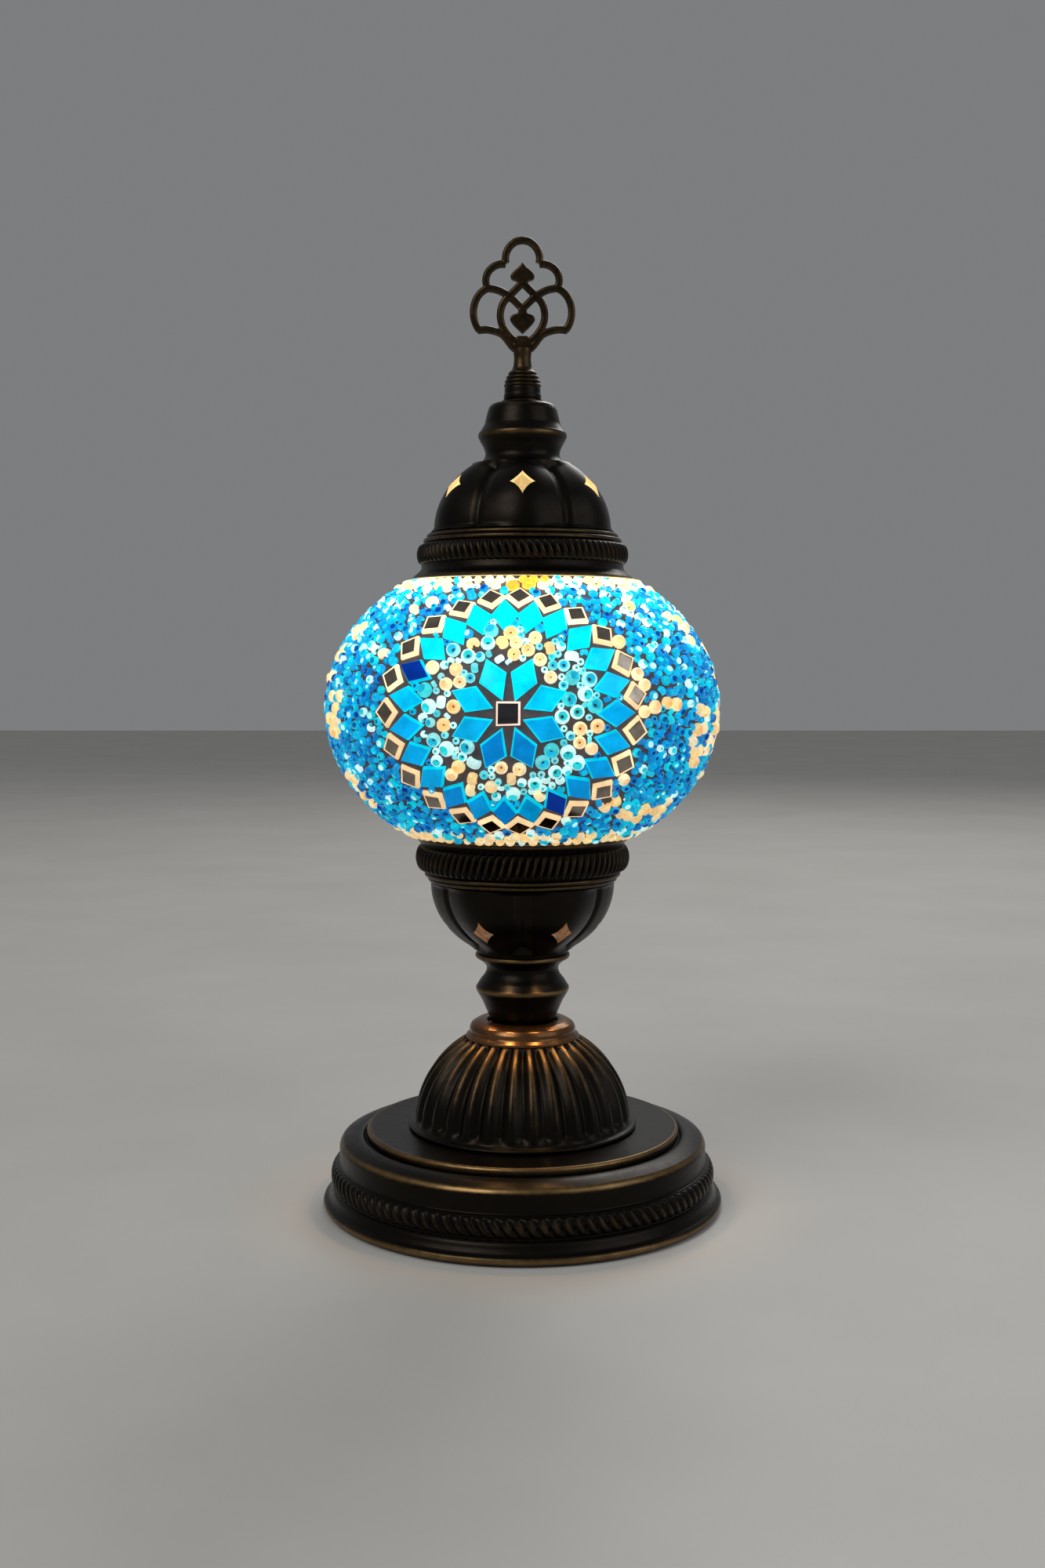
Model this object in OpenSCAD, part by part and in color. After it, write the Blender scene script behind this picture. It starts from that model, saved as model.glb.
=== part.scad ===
// Mosaic glass table lamp: a weighted metal base, a fluted dome and a turned neck carry a cup,
// a mosaic glass globe stands in the cup, and a cap with a finial closes it at the top.
// Millimetres, +Z up. The origin is the centre of the base on the table, the front is -Y.

/* [Base] */
// Diameter over the rolled rim of the base
base_d = 133.8; // [120:0.1:165]
// Height of the base's top plate above the table
base_h = 26; // [24:0.5:34]
// Metal thickness of the base
base_wall = 1.2; // [1:0.1:1.5]
// Distance from the rim in to the drum wall
drum_inset = 5.6; // [4.5:0.1:8]
// Distance from the drum wall in to the raised top plate
plate_inset = 9.1; // [8:0.1:12]
// Thickness of the felt pad
felt_t = 2; // [1.5:0.1:2.5]
// Thickness of the iron weight
weight_h = 11.6; // [6:0.1:12]
// Radius of the hole that the cord passes through
inlet_r = 3.4; // [2.5:0.1:3.6]

/* [Dome and neck] */
// Diameter of the fluted dome
dome_d = 72.4; // [60:0.1:88]
// Height of the fluted dome above the plate
dome_h = 30; // [22:0.5:40]
// Metal thickness of the dome
dome_wall = 2.2; // [1.8:0.1:3]
// Number of flutes around the dome
flutes = 30; // [24:1:36]
// Diameter of the collar on the dome
collar_d = 38; // [34:0.5:42]
// Height of the collar
collar_h = 6; // [4:0.5:9]
// Height of the lower neck
neck_h = 26; // [20:0.5:36]
// Diameter of the lower neck at its ridge
neck_d = 31.2; // [28:0.1:40]
// Metal thickness of the two necks
neck_wall = 1.2; // [1:0.1:1.6]

/* [Cup and cap] */
// Diameter of the lip of the cup and of the cap
cap_d = 70.4; // [68:0.1:90]
// Height of the cup and of the cap
cap_h = 37.9; // [34:0.1:46]
// Metal thickness of the cup and the cap
cap_wall = 1.2; // [1:0.1:1.6]
// Number of lobes, with one star hole in each
lobes = 6; // [4:1:8]
// Size of a star hole from tip to tip
star_w = 8.4; // [6:0.1:9]

/* [Globe] */
// Diameter of the bare glass
globe_d = 125.2; // [115:0.1:160]
// Height of the globe between its two edges
globe_h = 82.1; // [78:0.1:110]
// Thickness of the glass
glass_t = 2.2; // [1.8:0.1:3]
// Width of the ground edge at each opening
edge_w = 3; // [2.5:0.1:4]
// Thickness of the grout over the glass
grout_t = 1.1; // [0.8:0.1:1.5]
// Thickness of a mosaic tile
tile_t = 1.3; // [1:0.1:1.6]
// Thickness of the ring gaskets
gasket_t = 1; // [0.8:0.1:2]

/* [Mosaic] */
// Number of rosettes around the globe
rosettes = 3; // [1:1:3]
// Direction of the first rosette from the front
rosette_turn = -3.75; // [-60:0.25:60]
// Number of petals in a rosette
petals = 8; // [6:1:8]
// Number of diamonds in a rosette's ring
ring_tiles = 23; // [19:1:23]
// Distance along the globe from a rosette's centre to its diamonds
diamond_ring = 33; // [32.5:0.5:34]
// Distance along the globe from a rosette's centre to its mirror squares
mirror_ring = 40; // [39.5:0.5:41]

/* [Finial] */
// Height of the upper neck
upper_neck_h = 19.5; // [16:0.5:26]
// Diameter of the upper neck at its ridge
upper_neck_d = 29.2; // [26:0.1:34]
// Diameter of the finial's knob
knob_d = 12.3; // [10.5:0.1:15]
// Height of the finial's knob with its stem
knob_h = 16.6; // [14:0.1:22]
// Width of the openwork crest
crest_w = 34.2; // [28:0.1:42]
// Height of the openwork crest
crest_h = 36; // [30:0.1:44]
// Thickness of the crest
crest_t = 2.6; // [2:0.1:4]
// Width of the crest's bars
crest_bar = 2.1; // [1.6:0.05:2.6]

/* [Hardware] */
// Diameter of the threaded pipe
pipe_d = 10; // [8:0.5:11]
// Bore of the threaded pipe
pipe_bore = 7; // [5:0.5:7]
// Diameter of the stud that holds the cap
stud_d = 6; // [5:0.5:6.5]
// Radial clearance of a piece that slides over the stud or turns in a thread
thread_gap = 0.08; // [0.03:0.01:0.1]
// Width of the strip that the harp bracket is bent from
harp_w = 8; // [7:0.5:9]
// Thickness of the harp bracket's strip
harp_t = 1.5; // [1.2:0.1:2]
// Height of the harp's top bar above the cap's lip
harp_rise = 15; // [13:0.5:17]
// Distance from the harp's legs to the edge of the globe's opening
harp_gap = 3.25; // [3:0.05:4]
// Diameter of the lamp holder
holder_d = 28; // [26:0.5:28]
// Length of the lamp holder
holder_h = 45; // [42:0.5:46]
// Space between the bulb and the harp's legs
bulb_gap = 3.75; // [3:0.05:5]
// Diameter of the bulb's screw cap
screw_d = 13.9; // [13.9]
// Length of the bulb from its contact to its top
bulb_len = 78; // [76:0.5:80]
// How far the bulb rises as it is unscrewed
bulb_rise = 11.28; // [11.28]

/* [Hidden] */
$fn = 96;
brass = [0.33, 0.25, 0.16];
copper = [0.55, 0.33, 0.17];
steel = [0.66, 0.67, 0.68];

// Levels, from the table up
plate_z = base_h;
dome_top = plate_z + dome_h;
neck_seat = 2;
neck_z = dome_top + collar_h - neck_seat;
cup_floor = neck_z + neck_h;
cup_lip = cup_floor + cap_h;
glass_z = cup_lip + gasket_t;
globe_z = glass_z + globe_h / 2;
glass_top = glass_z + globe_h;
cap_lip = glass_top + gasket_t;
cap_top = cap_lip + cap_h;
upper_neck_top = cap_top + upper_neck_h;
washer_t = 1;
knob_z = upper_neck_top + washer_t;
crest_z = knob_z + knob_h;

// Base
rim_r = base_d / 2;
rim_lift = 0.5;
bead_r = 1.45;
drum_r = rim_r - drum_inset;
step_r = drum_r - plate_inset;
rope_z = 0.42 * base_h;
rope_half = 3.4;
inlet_z = 0.426 * base_h;
shoulder_z = plate_z - 3.8;
step_drop = 3.1;
flange_w = 4.4;
weight_r = step_r - 10;
washer_r = 10;
nut_h = 5;
pipe_r = pipe_d / 2;
pipe_hole = pipe_r + thread_gap;
pipe_nut_w = 1.4 * pipe_d;
weight_z = plate_z - base_wall - weight_h;
base_washer_z = weight_z - washer_t;
base_nut_z = base_washer_z - nut_h;
pipe_z = base_nut_z - 1.3;

// Cup and cap
cap_r = cap_d / 2;
body_r = cap_r - 4.6;
body_h = 26;
body_from = 16 + (cap_h - 37.9);
foot_h = cap_h - body_from;
foot_r = body_r * sqrt(1 - pow(foot_h / body_h, 2));
star_h = 14.2;

// Globe
edge_r = cap_r - 1.2;
opening_r = edge_r - edge_w;
glass_a = globe_d / 2;
glass_b = (globe_h / 2) / sqrt(1 - pow(edge_r / glass_a, 2));
skin_edge = 0.6;
skin_a = glass_a + grout_t;
skin_b = glass_b + grout_t;

// Harp, holder and bulb
harp_x = opening_r - harp_gap - harp_t / 2;
harp_z = cap_lip + harp_rise;
saddle_z = cup_floor + cap_wall + washer_t;
holder_r = holder_d / 2;
bulb_r = min(harp_x - harp_t / 2 - bulb_gap, bulb_len / 3.1);
head_h = 4;
head_w = 10;
head_gap = 1.9;
bulb_top = harp_z - harp_t / 2 - head_h - head_gap - bulb_rise;
bulb_z = bulb_top - bulb_len;
screw_r = screw_d / 2;
sleeve_r = screw_r + thread_gap;
sleeve_t = 0.6;
holder_z = bulb_z - 21;
stud_r = stud_d / 2;
stud_hole = stud_r + thread_gap;
engage = 6;

// ---------------------------------------------------------------- helpers

// Points along an elliptical arc
function arc(x, z, rx, rz, from, to, n) =
    [for (i = [0 : n]) let (a = from + (to - from) * i / n) [x + rx * cos(a), z + rz * sin(a)]];

// Points from one place to another, bending by the power p
function sweep(a, b, p, n) =
    [for (i = [0 : n]) let (t = i / n) [a.x + (b.x - a.x) * pow(t, p), a.y + (b.y - a.y) * t]];

function flip(points) = [for (i = [len(points) - 1 : -1 : 0]) points[i]];
function mirrored(points) = [for (p = points) [-p.x, p.y]];
function both_sides(points) =
    concat(points, [for (p = flip(mirrored(points))) if (p.x != 0) p]);
function unit(v) = v / norm(v);
function left_of(v) = [-v.y, v.x];

// The line that runs beside a path at a distance
function beside(path, d) = [
    for (i = [0 : len(path) - 1])
        let (
            before = i > 0 ? path[i] - path[i - 1] : path[1] - path[0],
            after = i < len(path) - 1 ? path[i + 1] - path[i] : path[i] - path[i - 1],
            n = unit(left_of(unit(before)) + left_of(unit(after)))
        )
        path[i] + n * d / (n * left_of(unit(before)))
];

// A bar of constant width along a path
module bar(path, width) {
    polygon(concat(beside(path, width / 2), flip(beside(path, -width / 2))));
}

// A ring with a flat top and bottom
module ring(outer_r, inner_r, h) {
    difference() {
        cylinder(r = outer_r, h = h);
        translate([0, 0, -1]) cylinder(r = inner_r, h = h + 2);
    }
}

// A hexagon nut or bolt head, measured across its flats
module hexagon(flats, h) {
    cylinder(r = flats / sqrt(3), h = h, $fn = 6);
}

module nut(flats, hole_r, h) {
    difference() {
        hexagon(flats, h);
        translate([0, 0, -1]) cylinder(r = hole_r, h = h + 2);
    }
}

// ---------------------------------------------------------------- base

// Outer line of the base, from under the rim to the middle of the plate
base_line = concat(
    arc(rim_r - bead_r, rim_lift + bead_r, bead_r, bead_r, -90, 70, 6),
    sweep([rim_r - 2, rim_lift + 4.2], [drum_r + 2.6, rope_z - rope_half], 0.5, 3),
    arc(drum_r + 1.1, rope_z, 1.8, rope_half, -75, 75, 6),
    [[drum_r, rope_z + rope_half + 0.3]],
    arc(drum_r - 1.2, shoulder_z - 0.8, 1.2, 1.4, 0, 80, 3),
    arc(step_r + 4.2, shoulder_z - 1.4, 4.2, 3, 60, 110, 4),
    [
        [step_r, plate_z - step_drop],
        [step_r, plate_z - 0.7],
        [step_r - 0.6, plate_z],
        [0, plate_z]
    ]
);

// Inner line of the base's hollow
base_hollow = [
    [0, -1],
    [rim_r - bead_r - base_wall / 2, -1],
    [rim_r - bead_r - base_wall / 2, rim_lift + 3],
    [drum_r - base_wall, rope_z - rope_half],
    [drum_r - base_wall, shoulder_z - 2.2],
    [drum_r - 2.4 * base_wall, plate_z - step_drop - base_wall],
    [step_r - base_wall, plate_z - step_drop - base_wall],
    [step_r - base_wall, plate_z - base_wall],
    [0, plate_z - base_wall]
];

inlet_tube = 1.2;
inlet_flange = 2.8;
inlet_face = drum_r + 3.2;

module felt_pad() {
    color([0.13, 0.12, 0.12])
        cylinder(r = rim_r - bead_r - base_wall / 2 - 0.2, h = felt_t);
}

module base_shell() {
    color(brass) {
        difference() {
            rotate_extrude() polygon(concat([[0, rim_lift]], base_line));
            rotate_extrude() polygon(base_hollow);
            cylinder(r = pipe_hole, h = plate_z + 1);
            translate([0, drum_r - 12, inlet_z]) rotate([-90, 0, 0])
                cylinder(r = inlet_r + inlet_tube, h = 30);
        }
        translate([0, 0, felt_t])
            ring(rim_r - bead_r, rim_r - bead_r - flange_w, base_wall);
    }
}

module base_weight() {
    color([0.2, 0.2, 0.21])
        translate([0, 0, weight_z]) ring(weight_r, pipe_hole, weight_h);
}

module base_washer() {
    color(steel)
        translate([0, 0, base_washer_z]) ring(washer_r, pipe_hole, washer_t);
}

module base_nut() {
    color(steel)
        translate([0, 0, base_nut_z]) nut(pipe_nut_w, pipe_r, nut_h);
}

// Bush in the back wall for the cord
module cord_inlet() {
    color([0.09, 0.09, 0.09])
        translate([0, drum_r - 3.5, inlet_z]) rotate([-90, 0, 0])
            difference() {
                union() {
                    cylinder(r = inlet_r + inlet_tube, h = inlet_face - drum_r + 3.5);
                    translate([0, 0, inlet_face - drum_r + 3.5])
                        cylinder(r = inlet_r + inlet_flange, h = 1.4);
                }
                translate([0, 0, -1]) cylinder(r = inlet_r, h = 20);
            }
}

module threaded_pipe() {
    color(steel)
        translate([0, 0, pipe_z]) ring(pipe_r, pipe_bore / 2, holder_z + 7 - pipe_z);
}

// ---------------------------------------------------------------- dome and neck

dome_r = dome_d / 2;
dome_foot = 1.1;
collar_r = collar_d / 2;
dome_b = (dome_h - dome_foot) / sqrt(1 - pow(collar_r / dome_r, 2));
dome_end = asin((dome_h - dome_foot) / dome_b);
flute_r = 1.2;
flute_start = 6;

// One flute, cut along the dome from its foot to the collar
module flute() {
    rotate([90, 0, 0]) rotate([0, 0, flute_start])
        rotate_extrude(angle = dome_end - 2 * flute_start, $fn = 48)
            translate([(dome_r + dome_b) / 2 + 0.5, 0]) circle(r = flute_r, $fn = 24);
}

module fluted_dome() {
    bead = arc(dome_r + 0.4, plate_z + 0.8, 1.6, 0.8, -90, 90, 6);
    outer = arc(0, plate_z + dome_foot, dome_r, dome_b, 3, dome_end, 16);
    inner = arc(0, plate_z, dome_r - dome_wall, dome_b - dome_wall + dome_foot, 0, dome_end, 12);
    roof = dome_top - dome_wall;
    color(brass)
        difference() {
            rotate_extrude()
                polygon(concat([[0, plate_z]], bead, outer, [[0, dome_top]]));
            rotate_extrude()
                polygon(concat([[0, plate_z - 1], [dome_r - dome_wall, plate_z - 1]],
                    [for (p = inner) [p.x, min(p.y, roof)]], [[0, roof]]));
            translate([0, 0, plate_z]) cylinder(r = pipe_hole, h = dome_h + 1);
            for (i = [0 : flutes - 1])
                rotate([0, 0, (i + 0.5) * 360 / flutes])
                    translate([0, 0, plate_z + dome_foot]) flute();
        }
}

module collar_ring() {
    seat_r = neck_d / 2 - 4.2;
    color(copper)
        difference() {
            rotate_extrude()
                polygon(concat(
                    [[0, dome_top], [collar_r, dome_top], [collar_r, dome_top + 0.6]],
                    [[collar_r - 1.3, dome_top + 1.6]],
                    arc(collar_r - 3.8, dome_top + collar_h - 2.5, 2.5, 2.5, 0, 90, 5),
                    [[0, dome_top + collar_h]]));
            translate([0, 0, neck_z]) cylinder(r = seat_r, h = neck_seat + 1);
            translate([0, 0, dome_top - 1]) cylinder(r = pipe_hole, h = collar_h + 2);
        }
}

// Outline of the lower neck: a foot in the collar, a ridge, a waist and a lip under the cup
function neck_line(inset, bottom, top) =
    let (
        ridge = [neck_d / 2 - inset, neck_z + 0.47 * neck_h],
        waist = [12 / 31.2 * neck_d - inset, neck_z + 0.73 * neck_h],
        lip = [foot_r - 0.6 - inset, neck_z + 0.93 * neck_h],
        foot = [neck_d / 2 - 5.2 - inset, bottom]
    )
    concat(
        sweep(foot, ridge, 1.3, 6),
        flip(sweep(waist, ridge, 1.7, 6)),
        sweep(waist, lip, 1.6, 5),
        [[lip.x, top]]
    );

module lower_neck() {
    color(brass)
        difference() {
            rotate_extrude()
                polygon(concat([[0, neck_z]], neck_line(0, neck_z, cup_floor), [[0, cup_floor]]));
            rotate_extrude()
                polygon(concat([[0, neck_z + neck_wall]],
                    neck_line(neck_wall, neck_z + neck_wall, cup_floor + 1),
                    [[0, cup_floor + 1]]));
            translate([0, 0, neck_z - 1]) cylinder(r = pipe_hole, h = neck_h);
        }
}

// ---------------------------------------------------------------- cup and cap

// Outer line of the cap from its lip up: lip, rope band, bead and dome
cap_line = concat(
    [[cap_r, 0], [cap_r, 1.1], [cap_r - 1.6, 2.5], [cap_r - 1.6, 4.2]],
    arc(cap_r - 2.2, 8.2, 1.9, 3.4, -70, 70, 6),
    arc(cap_r - 3.5, 12.9, 0.9, 0.9, -70, 70, 4),
    arc(0, body_from, body_r, body_h, 0, asin(foot_h / body_h), 12)
);
cap_hollow = concat(
    [[cap_r - cap_wall - 0.4, -1], [cap_r - cap_wall - 0.4, 0.6]],
    [[cap_r - 2.9, 2.8], [cap_r - 2.9, 11], [body_r - cap_wall, 13.8]],
    arc(0, body_from, body_r - cap_wall, body_h - cap_wall, 0,
        asin((foot_h - cap_wall) / (body_h - cap_wall)), 12)
);

// A four-pointed star with hollow sides
module star(width) {
    sharp = 2.7;
    polygon([
        for (a = [0 : 15 : 345])
            width / 2 * [sign(cos(a)) * pow(abs(cos(a)), sharp),
                sign(sin(a)) * pow(abs(sin(a)), sharp)]
    ]);
}

// The shared stamping, with its lip at zero and its foot at the top
module cap_shape(hole_r, turn) {
    star_angle = asin(star_h / body_h);
    star_r = body_r * cos(star_angle);
    slope = atan2(sin(star_angle) / body_h, cos(star_angle) / body_r);
    difference() {
        rotate_extrude() polygon(concat([[0, 0]], cap_line, [[0, cap_h]]));
        rotate_extrude() polygon(concat([[0, -1]], cap_hollow, [[0, cap_h - cap_wall]]));
        translate([0, 0, cap_h - 3]) cylinder(r = hole_r, h = 5);
        for (i = [0 : lobes - 1])
            rotate([0, 0, turn + i * 360 / lobes])
                translate([star_r, 0, body_from + star_h])
                    rotate([0, 90 - slope, 0])
                        translate([0, 0, -3]) linear_extrude(6) star(star_w);
    }
}

module lower_cup() {
    color(brass)
        translate([0, 0, cup_lip]) mirror([0, 0, 1]) cap_shape(pipe_hole, 0);
}

module upper_cap() {
    color(brass)
        translate([0, 0, cap_lip]) cap_shape(stud_hole, 180 / lobes);
}

module lower_gasket() {
    color([0.1, 0.1, 0.1])
        translate([0, 0, cup_lip]) ring(edge_r, opening_r + 0.5, gasket_t);
}

module upper_gasket() {
    color([0.1, 0.1, 0.1])
        translate([0, 0, glass_top]) ring(edge_r, opening_r + 0.5, gasket_t);
}

module cup_washer() {
    color(steel)
        translate([0, 0, cup_floor + cap_wall]) ring(washer_r, pipe_hole, washer_t);
}

// ---------------------------------------------------------------- harp bracket

// Half of the strip's middle line, from the saddle on the pipe up to the top bar
harp_line = [
    [0, saddle_z + harp_t / 2],
    [0.48 * harp_x, saddle_z + harp_t / 2],
    [harp_x - 3, saddle_z + 0.35 * cap_h],
    [harp_x, saddle_z + 0.6 * cap_h],
    [harp_x, glass_top - 12],
    [0.75 * harp_x, harp_z],
    [0, harp_z]
];

module harp_bracket() {
    color(steel)
        difference() {
            union() {
                rotate([90, 0, 0])
                    translate([0, 0, -harp_w / 2]) linear_extrude(harp_w) {
                        bar(harp_line, harp_t);
                        bar(mirrored(harp_line), harp_t);
                    }
                translate([0, 0, saddle_z]) cylinder(r = pipe_r + 4.5, h = harp_t);
            }
            translate([0, 0, saddle_z - 1]) cylinder(r = pipe_hole, h = 4);
            translate([0, 0, harp_z - 2]) cylinder(r = stud_r, h = 4);
        }
}

module harp_nut() {
    color(steel)
        translate([0, 0, saddle_z + harp_t]) nut(pipe_nut_w, pipe_r, nut_h);
}

// Bolt that stands up from the harp's top bar and carries the cap and the finial
module cap_stud() {
    color(steel) {
        translate([0, 0, harp_z - harp_t / 2 - head_h]) hexagon(head_w, head_h);
        translate([0, 0, harp_z - harp_t / 2])
            cylinder(r = stud_r, h = knob_z + engage - 0.4 - harp_z + harp_t / 2);
    }
}

module stud_nut() {
    color(steel)
        translate([0, 0, harp_z + harp_t / 2]) nut(head_w, stud_r, nut_h);
}

// ---------------------------------------------------------------- lamp holder

holder_cap_h = 10;
shell_t = 1.6;
holder_top = holder_z + holder_h;
insulator_z = bulb_z + 1.2;
sleeve_z = bulb_z + 3;
screw_x = 8.6;
screw_hole = 1.4;

module holder_cap() {
    color([0.12, 0.12, 0.12])
        translate([0, 0, holder_z]) {
            ring(holder_r, pipe_r, 3);
            ring(holder_r, holder_r - shell_t, holder_cap_h);
            ring(pipe_r + 1.6, pipe_r, 7);
        }
}

module holder_insulator() {
    color([0.82, 0.8, 0.74])
        difference() {
            translate([0, 0, holder_z + holder_cap_h])
                cylinder(r = holder_r - shell_t, h = holder_h - holder_cap_h - 1.6);
            translate([0, 0, sleeve_z]) cylinder(r = sleeve_r + sleeve_t, h = holder_h);
            translate([0, 0, bulb_z - 3]) cylinder(r = 4.2, h = 10);
            translate([0, 0, insulator_z - 0.4]) cylinder(r = screw_r, h = 3);
            for (x = [-screw_x, screw_x])
                translate([x, 0, holder_z]) cylinder(r = screw_hole, h = 17);
        }
}

module holder_shell() {
    color([0.12, 0.12, 0.12])
        translate([0, 0, holder_z + holder_cap_h]) {
            ring(holder_r, holder_r - shell_t, holder_h - holder_cap_h);
            translate([0, 0, holder_h - holder_cap_h - 1.6])
                ring(holder_r, sleeve_r + 2.6, 1.6);
        }
}

module holder_sleeve() {
    color([0.75, 0.6, 0.3])
        translate([0, 0, sleeve_z])
            ring(sleeve_r + sleeve_t, sleeve_r, holder_top - 1.6 - sleeve_z);
}

module holder_contact() {
    color([0.75, 0.6, 0.3])
        translate([0, 0, bulb_z - 3]) {
            cylinder(r = 3.6, h = 1);
            cylinder(r = 2, h = 3);
        }
}

module holder_screws() {
    color(steel)
        for (x = [-screw_x, screw_x])
            translate([x, 0, holder_z + holder_cap_h]) {
                translate([0, 0, -1.8]) cylinder(r = 2.4, h = 1.8);
                cylinder(r = screw_hole, h = 7);
            }
}

// ---------------------------------------------------------------- globe

module glass_globe() {
    lift = asin((globe_h / 2) / glass_b);
    inner_a = glass_a - glass_t;
    inner_b = glass_b - glass_t;
    inner_lift = acos(opening_r / inner_a);
    color([0.75, 0.88, 0.92, 0.4])
        translate([0, 0, globe_z])
            rotate_extrude()
                polygon(concat(
                    arc(0, 0, glass_a, glass_b, -lift, lift, 28),
                    [[opening_r, globe_h / 2]],
                    arc(0, 0, inner_a, inner_b, inner_lift, -inner_lift, 28),
                    [[opening_r, -globe_h / 2]]));
}

// Thin layer over the glass that the tiles are set in
module grout_layer() {
    lift = asin((globe_h / 2) / glass_b);
    steps = 28;
    inside = [for (i = [1 : steps - 1]) let (a = -lift + 2 * lift * i / steps)
        [glass_a * cos(a), glass_b * sin(a)]];
    outside = [for (i = [1 : steps - 1]) let (a = -lift + 2 * lift * i / steps)
        [skin_a * cos(a), skin_b * sin(a)]];
    color([0.28, 0.24, 0.25])
        translate([0, 0, globe_z])
            rotate_extrude() polygon(concat(outside, flip(inside)));
}

// Puts a tile on the grout, at a distance and a direction from its rosette's centre
module on_globe(rosette, distance, direction) {
    up = distance * sin(direction);
    across = distance * cos(direction);
    mean_r = (skin_a + 4 * skin_b) / 5;
    lat = up / mean_r * 180 / PI;
    lon = across / (skin_a * cos(lat / 2)) * 180 / PI;
    tilt = atan2(sin(lat) / skin_b, cos(lat) / skin_a);
    rotate([0, 0, -90 + rosette_turn + rosette * 360 / rosettes + lon])
        translate([skin_a * cos(lat), 0, globe_z + skin_b * sin(lat)])
            rotate([0, 90 - tilt, 0])
                rotate([0, 0, 90 + direction - lon * sin(lat) / 2])
                    translate([0, 0, 0.02]) children();
}

module tile(points) {
    linear_extrude(tile_t) polygon(points);
}

function rhombus(length, width) =
    [[length / 2, 0], [0, width / 2], [-length / 2, 0], [0, -width / 2]];

centre_w = 7;
petal_from = 5.4;
petal_l = 12.4;
petal_w = 6.8;
diamond_l = 12.8;
diamond_w = 6.9;
mirror_w = 6;

module rosette_centres() {
    color([0.2, 0.22, 0.25])
        for (r = [0 : rosettes - 1])
            on_globe(r, 0, 45) tile(rhombus(centre_w * sqrt(2), centre_w * sqrt(2)));
}

module rosette_petals() {
    kite = [
        [-petal_l / 2, 0],
        [petal_l / 5, petal_w / 2],
        [petal_l / 2, 0],
        [petal_l / 5, -petal_w / 2]
    ];
    color([0.15, 0.62, 0.85])
        for (r = [0 : rosettes - 1], i = [0 : petals - 1])
            on_globe(r, petal_from + petal_l / 2, (i + 0.5) * 360 / petals) tile(kite);
}

module rosette_diamonds() {
    color([0.1, 0.45, 0.8])
        for (r = [0 : rosettes - 1], i = [0 : ring_tiles - 1])
            on_globe(r, diamond_ring, i * 360 / ring_tiles) tile(rhombus(diamond_l, diamond_w));
}

module mirror_tiles() {
    color([0.8, 0.82, 0.82])
        for (r = [0 : rosettes - 1], i = [0 : ring_tiles - 1])
            on_globe(r, mirror_ring, (i + 0.5) * 360 / ring_tiles)
                tile(rhombus(mirror_w * sqrt(2), mirror_w * sqrt(2)));
}

// ---------------------------------------------------------------- upper neck and finial

module upper_neck() {
    waist_r = upper_neck_d / 2 - 2.3;
    ridge = [upper_neck_d / 2, cap_top + 0.46 * upper_neck_h];
    waist = [waist_r, cap_top + 0.16 * upper_neck_h];
    top_r = knob_d / 2 + 3.8;
    outer = concat(
        [[waist_r + 1.4, cap_top]],
        [waist],
        sweep([waist_r, waist.y + 1.5], ridge, 1.2, 4),
        arc(top_r + 1, ridge.y + 1.2, ridge.x - top_r - 1, 3.4, 0, 80, 5),
        [[top_r + 1, upper_neck_top - 2.4], [top_r, upper_neck_top - 0.4], [top_r, upper_neck_top]]
    );
    color(brass)
        difference() {
            rotate_extrude() polygon(concat([[0, cap_top]], outer, [[0, upper_neck_top]]));
            translate([0, 0, cap_top - 1])
                cylinder(r = top_r - neck_wall, h = upper_neck_h + 1 - 2 * neck_wall);
            translate([0, 0, cap_top]) cylinder(r = stud_hole, h = upper_neck_h + 1);
        }
}

module finial_washer() {
    color(copper)
        translate([0, 0, upper_neck_top]) ring(knob_d / 2 + 0.6, stud_hole, washer_t);
}

module finial_knob() {
    r = knob_d / 2;
    stem_r = 0.47 * r;
    line = concat(
        [[0, 0], [r, 0], [r - 0.35, 1.6]],
        flip(sweep([stem_r + 0.1, 0.64 * knob_h], [r - 0.4, 0.3 * knob_h], 0.55, 5)),
        [[stem_r, 0.66 * knob_h], [stem_r, knob_h], [0, knob_h]]
    );
    color(brass)
        translate([0, 0, knob_z])
            difference() {
                rotate_extrude() polygon(line);
                translate([0, 0, -1]) cylinder(r = stud_hole, h = engage + 1);
            }
}

module crest_bar_along(path) {
    linear_extrude(crest_t) bar(path, crest_bar);
}

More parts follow.
